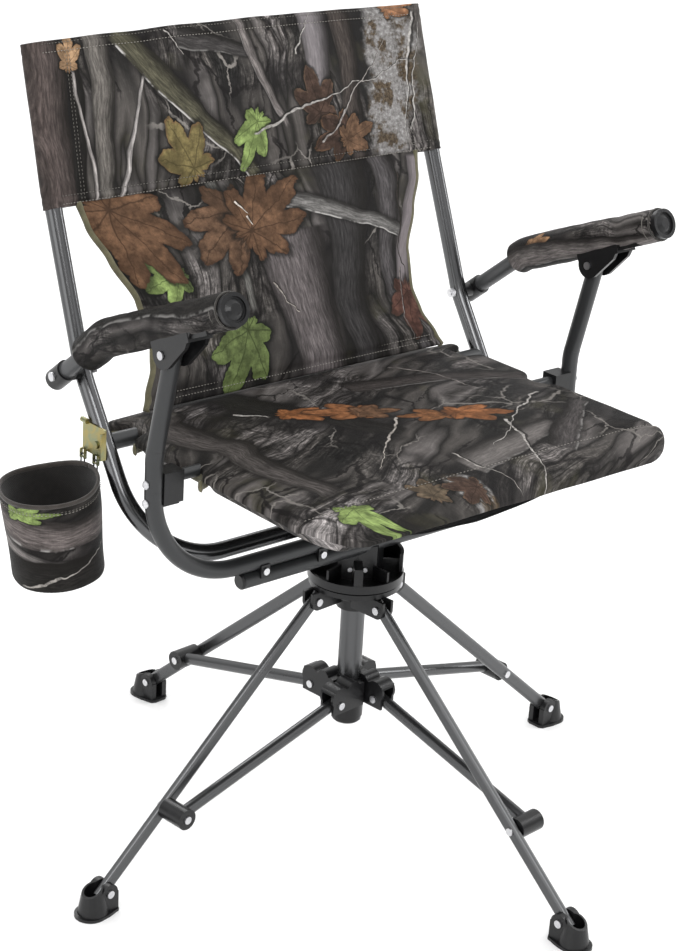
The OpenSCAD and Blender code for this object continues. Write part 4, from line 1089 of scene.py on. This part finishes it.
def build_arm_covers():
    end = ARM_FRONT + (ARM_BEND - ARM_FRONT).normalized() * 0.001
    for (side, tag), from_pivot, arm_print in zip(SIDES, (0.058, 0.088), (arm_right_print, arm_left_print)):
        start = ARM_PIVOT + (ARM_BEND - ARM_PIVOT).normalized() * from_pivot
        path = [p + Vector((side * ARM_X, 0, 0)) for p in rounded_path([start, ARM_BEND, end], [0.06], 0.004)]
        total = path_lengths(path)[-1]

        def section(distance, share, side=side, total=total):
            ring = []
            from_end = min(distance, total - distance)
            for k in range(36):
                turn = 2 * math.pi * k / 36 - math.pi / 2
                c, s = math.cos(turn), math.sin(turn)
                radius = lerp(0.0196, 0.0206, smooth(distance / 0.05)) - 0.0018 * smooth((share - 0.35) / 0.6)
                radius += 0.0010 * wrinkle(Vector((c * 0.6, s * 0.6, distance * 30)), 1.6, 3.0 * side)
                radius -= 0.0016 * (1 - smooth(from_end / 0.004))
                radius -= 0.0009 * math.exp(-((from_end - 0.010) / 0.0016) ** 2)
                ring.append((radius * c, radius * s))
            return ring

        cover = sweep(f"arm_cover_{tag}", path, Vector((1, 0, 0)), section, arm_print)
        subdivide(cover)
        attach(cover, "seat_body")
        if side < 0:
            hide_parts("arm_covers")
        along = (path[-1] - path[-2]).normalized()
        centre = path[-1] - along * 0.0015
        pipings = ((0.0, 0.0022, piping_cloth), (0.0100, 0.0013, dark_thread))
        for k, (back, thick, material) in enumerate(pipings):
            ring = ring_path(centre - along * back, along, 0.0180)
            band = strip(f"arm_piping_{tag}_{k + 1}", ring, along, thick, thick, material, 8)
            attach(band, "seat_body")


def ring_path(centre, axis, radius, count=48):
    side = axis.orthogonal().normalized()
    up = axis.cross(side)
    return [
        centre + (side * math.cos(2 * math.pi * k / count) + up * math.sin(2 * math.pi * k / count)) * radius
        for k in range(count + 1)
    ]


# ------------------------------------------------------------------ cup holder

CUP_RIM = mm(-343, 114, 453)
CUP_LEAN = Matrix.Rotation(math.radians(-8), 3, "Y")
CUP_DEEP = 0.108
CUP_CLOTH_RADIUS = 0.052
CUP_HOOKS = ((-0.2915, 0.102, 0.4705), (-0.2915, 0.126, 0.4705))


def cup_point(turn, radius, drop):
    """A place on the leaning bucket, drop below the middle of its mouth."""
    sag = (0.0022 * math.cos(2 * turn + 0.6) + 0.0012 * math.cos(3 * turn)) * (1 - drop / CUP_DEEP)
    return CUP_RIM + CUP_LEAN @ Vector((radius * math.cos(turn), radius * math.sin(turn), sag - drop))


def cup_radius(turn, v):
    """Radius of the cloth bucket from the bottom, v = 0, to the mouth, v = 1."""
    radius = lerp(0.0500, 0.0538, v) - 0.004 * (1 - smooth(v / 0.05))
    radius += 0.0016 * wrinkle(Vector((math.cos(turn), math.sin(turn), v * 1.4)), 1.5, 7.0)
    return radius - 0.0009 * math.exp(-((v - 0.915) / 0.014) ** 2)


def build_cup():
    around, rows = 72, 30
    points, uvs = [], []
    profile = [("out", k / rows) for k in range(rows + 1)] + [("in", 1 - k / rows) for k in range(rows + 1)]
    for kind, v in profile:
        for j in range(around):
            turn = 2 * math.pi * j / around
            radius = cup_radius(turn, v)
            drop = CUP_DEEP * (1 - v)
            if kind == "in":
                radius -= 0.0026
                drop = min(drop, CUP_DEEP - 0.004)
            points.append(cup_point(turn, radius, drop))
            uvs.append((CUP_CLOTH_RADIUS * turn, CUP_DEEP * v))
    faces = tube_faces(len(profile), around)
    cup = make_mesh("cup_bucket", points, faces, uvs, cup_print, CUP_CLOTH_RADIUS * 2 * math.pi)
    cup.data.materials.append(cup_lining)
    for polygon in cup.data.polygons:
        if min(polygon.vertices) >= (rows + 1) * around:
            polygon.material_index = 1
    subdivide(cup)
    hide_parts("cup_holder")
    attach(cup, "cup_body")
    rim = [cup_point(2 * math.pi * k / 96, 0.0526, -0.0004) for k in range(97)]
    hem = strip("cup_hem", rim, Vector((0, 0, 1)), 0.0060, 0.0040, cup_hem_cloth, 10)
    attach(hem, "cup_body")
    for k, drop in enumerate((0.0062, 0.0090)):
        path = []
        for i in range(121):
            turn = 2 * math.pi * i / 120
            path.append(cup_point(turn, cup_radius(turn, 1 - drop / CUP_DEEP) + 0.0007, drop))
        line = stitches(f"cup_stitch_{k + 1}", path, pale_thread if k else dark_thread,
                        normal=lambda p: Vector((p.x - CUP_RIM.x, p.y - CUP_RIM.y, 0)).normalized())
        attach(line, "cup_body")
    for k, hook in enumerate(CUP_HOOKS):
        build_cup_cord(k, Vector(hook))


def build_cup_cord(k, hook):
    """A loop of thin cord from the bucket's rim, over the bracket's hook and back to the rim."""
    foot = Vector((hook.x - 0.0005, hook.y, 0.4590))
    spread = 0.0032
    loop = [foot + Vector((0, -spread, 0))]
    for i in range(13):
        turn = math.pi * (1 - i / 12)
        loop.append(hook + Vector((0, spread * math.cos(turn), 0.0006 + spread * math.sin(turn))))
    loop.append(foot + Vector((0, spread, 0)))
    curve = bpy.data.curves.new(f"cup_cord_{k + 1}", "CURVE")
    curve.dimensions = "3D"
    curve.bevel_depth = 0.0009
    curve.bevel_resolution = 3
    curve.use_fill_caps = True
    spline = curve.splines.new("POLY")
    spline.points.add(len(loop) - 1)
    for point, place in zip(spline.points, loop):
        point.co = (*place, 1.0)
    curve.materials.append(cord_black)
    cord = bpy.data.objects.new(f"cup_cord_{k + 1}", curve)
    scene.collection.objects.link(cord)
    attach(cord, "cup_body")
    if k == 0:
        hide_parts("cup_links")


# ------------------------------------------------------------------ webbing under the seat


def build_sling():
    """Black webbing that hangs between the seat rails, sewn round them at each side."""
    half, low, top = 0.2010, 0.4385, 0.4740
    line = []
    for i in range(73):
        share = 2 * i / 72 - 1
        line.append(Vector((half * share, 0, top - (top - low) * (1 - share**2) ** 0.8)))
    run = path_lengths(line)
    length, thick, rows = 0.205, 0.0012, 36
    points, uvs = [], []
    for layer in (0, 1):
        for row in range(rows + 1):
            y = 0.020 - length * row / rows
            for i, place in enumerate(line):
                sag = 0.0012 * wrinkle(Vector((run[i], y, 0.0)), 24.0) * smooth((top - place.z) / 0.02)
                inward = Vector((-place.x, 0, 0.9 * top - place.z)).normalized() * thick * layer
                points.append(Vector((place.x, y, place.z + sag)) + inward)
                uvs.append((run[i], y))
    webbing = make_mesh("seat_webbing", points, pouch_faces(len(line), rows + 1), uvs, sling_cloth)
    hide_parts("seat_sling")
    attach(webbing, "seat_body")


# ------------------------------------------------------------------ stage


def build_stage():
    floor_material, g, shader = new_material("pale floor")
    at = g.here()
    color = g.mix(g.noise(at, 2.0, 2.0, 0.5), (0.90,) * 3, (0.94,) * 3)
    finish_shader(g, shader, g.noise(at, 80.0, 3.0, 0.5), 0.02, 0.001, Base_Color=color, Roughness=0.75)
    half = 25.0
    floor = make_mesh("floor", [(-half, -half, 0), (half, -half, 0), (half, half, 0), (-half, half, 0)],
                      [(0, 1, 2, 3)], [(0, 0)] * 4, floor_material)
    build_world()
    lamps = (
        ("key", (-1.7, -2.3, 2.6), 1.2, 1.2, 30),
        ("side", (2.5, -0.9, 1.5), 0.4, 1.8, 22),
        ("rim", (0.9, 2.3, 2.2), 1.4, 0.5, 18),
    )
    for name, place, wide, high, power in lamps:
        data = bpy.data.lights.new(name, "AREA")
        data.shape, data.size, data.size_y, data.energy = "RECTANGLE", wide, high, power
        lamp = bpy.data.objects.new(name, data)
        lamp.location = place
        lamp.rotation_mode = "QUATERNION"
        lamp.rotation_quaternion = (Vector((0, 0, 0.5)) - Vector(place)).to_track_quat("-Z", "Y")
        scene.collection.objects.link(lamp)


def build_world():
    """A studio: bright overhead, darker towards the horizon, with two upright soft boxes for the steel."""
    world = bpy.data.worlds.new("studio")
    world.use_nodes = True
    g = Graph(world.node_tree)
    background = world.node_tree.nodes["Background"]
    x, y, z = g.split(g.add("ShaderNodeTexCoord").outputs["Generated"])
    light = g.fade(z, 0.10, 0.75, 0.50, 1.50)
    for azimuth, width, strength in ((-86.0, 0.10, 2.2), (14.0, 0.07, 1.6)):
        turn = math.radians(azimuth)
        facing = g.minus(g.times(x, math.sin(turn)), g.times(y, math.cos(turn)))
        light = g.plus(light, g.fade(facing, 1 - width, 1 - width * 0.6, 0.0, strength))
    g.put(background.inputs["Color"], (1.0, 1.0, 1.0))
    g.put(background.inputs["Strength"], light)
    scene.world = world


def build_camera():
    azimuth, elevation, roll = (math.radians(a) for a in (-41.66, 21.86, 3.42))
    aside, height, distance = -0.02472, 0.42611, 2.57958
    flat = Vector((math.sin(azimuth), -math.cos(azimuth), 0)) * math.cos(elevation)
    back = flat + Vector((0, 0, math.sin(elevation)))
    right = Vector((math.cos(azimuth), math.sin(azimuth), 0))
    up = back.cross(right)
    place = right * aside + Vector((0, 0, height)) + back * distance
    across = right * math.cos(roll) + up * math.sin(roll)
    upward = up * math.cos(roll) - right * math.sin(roll)
    data = bpy.data.cameras.new("camera")
    data.sensor_width = 36.0
    data.lens = 86.91
    camera = bpy.data.objects.new("camera", data)
    scene.collection.objects.link(camera)
    turn = Matrix((across, upward, back)).transposed()
    camera.matrix_world = Matrix.Translation(place) @ turn.to_4x4()
    scene.camera = camera


build_seat()
build_back_panel()
build_back_sleeve()
build_arm_covers()
build_cup()
build_sling()
build_stage()
build_camera()
scene.view_settings.view_transform = "Standard"
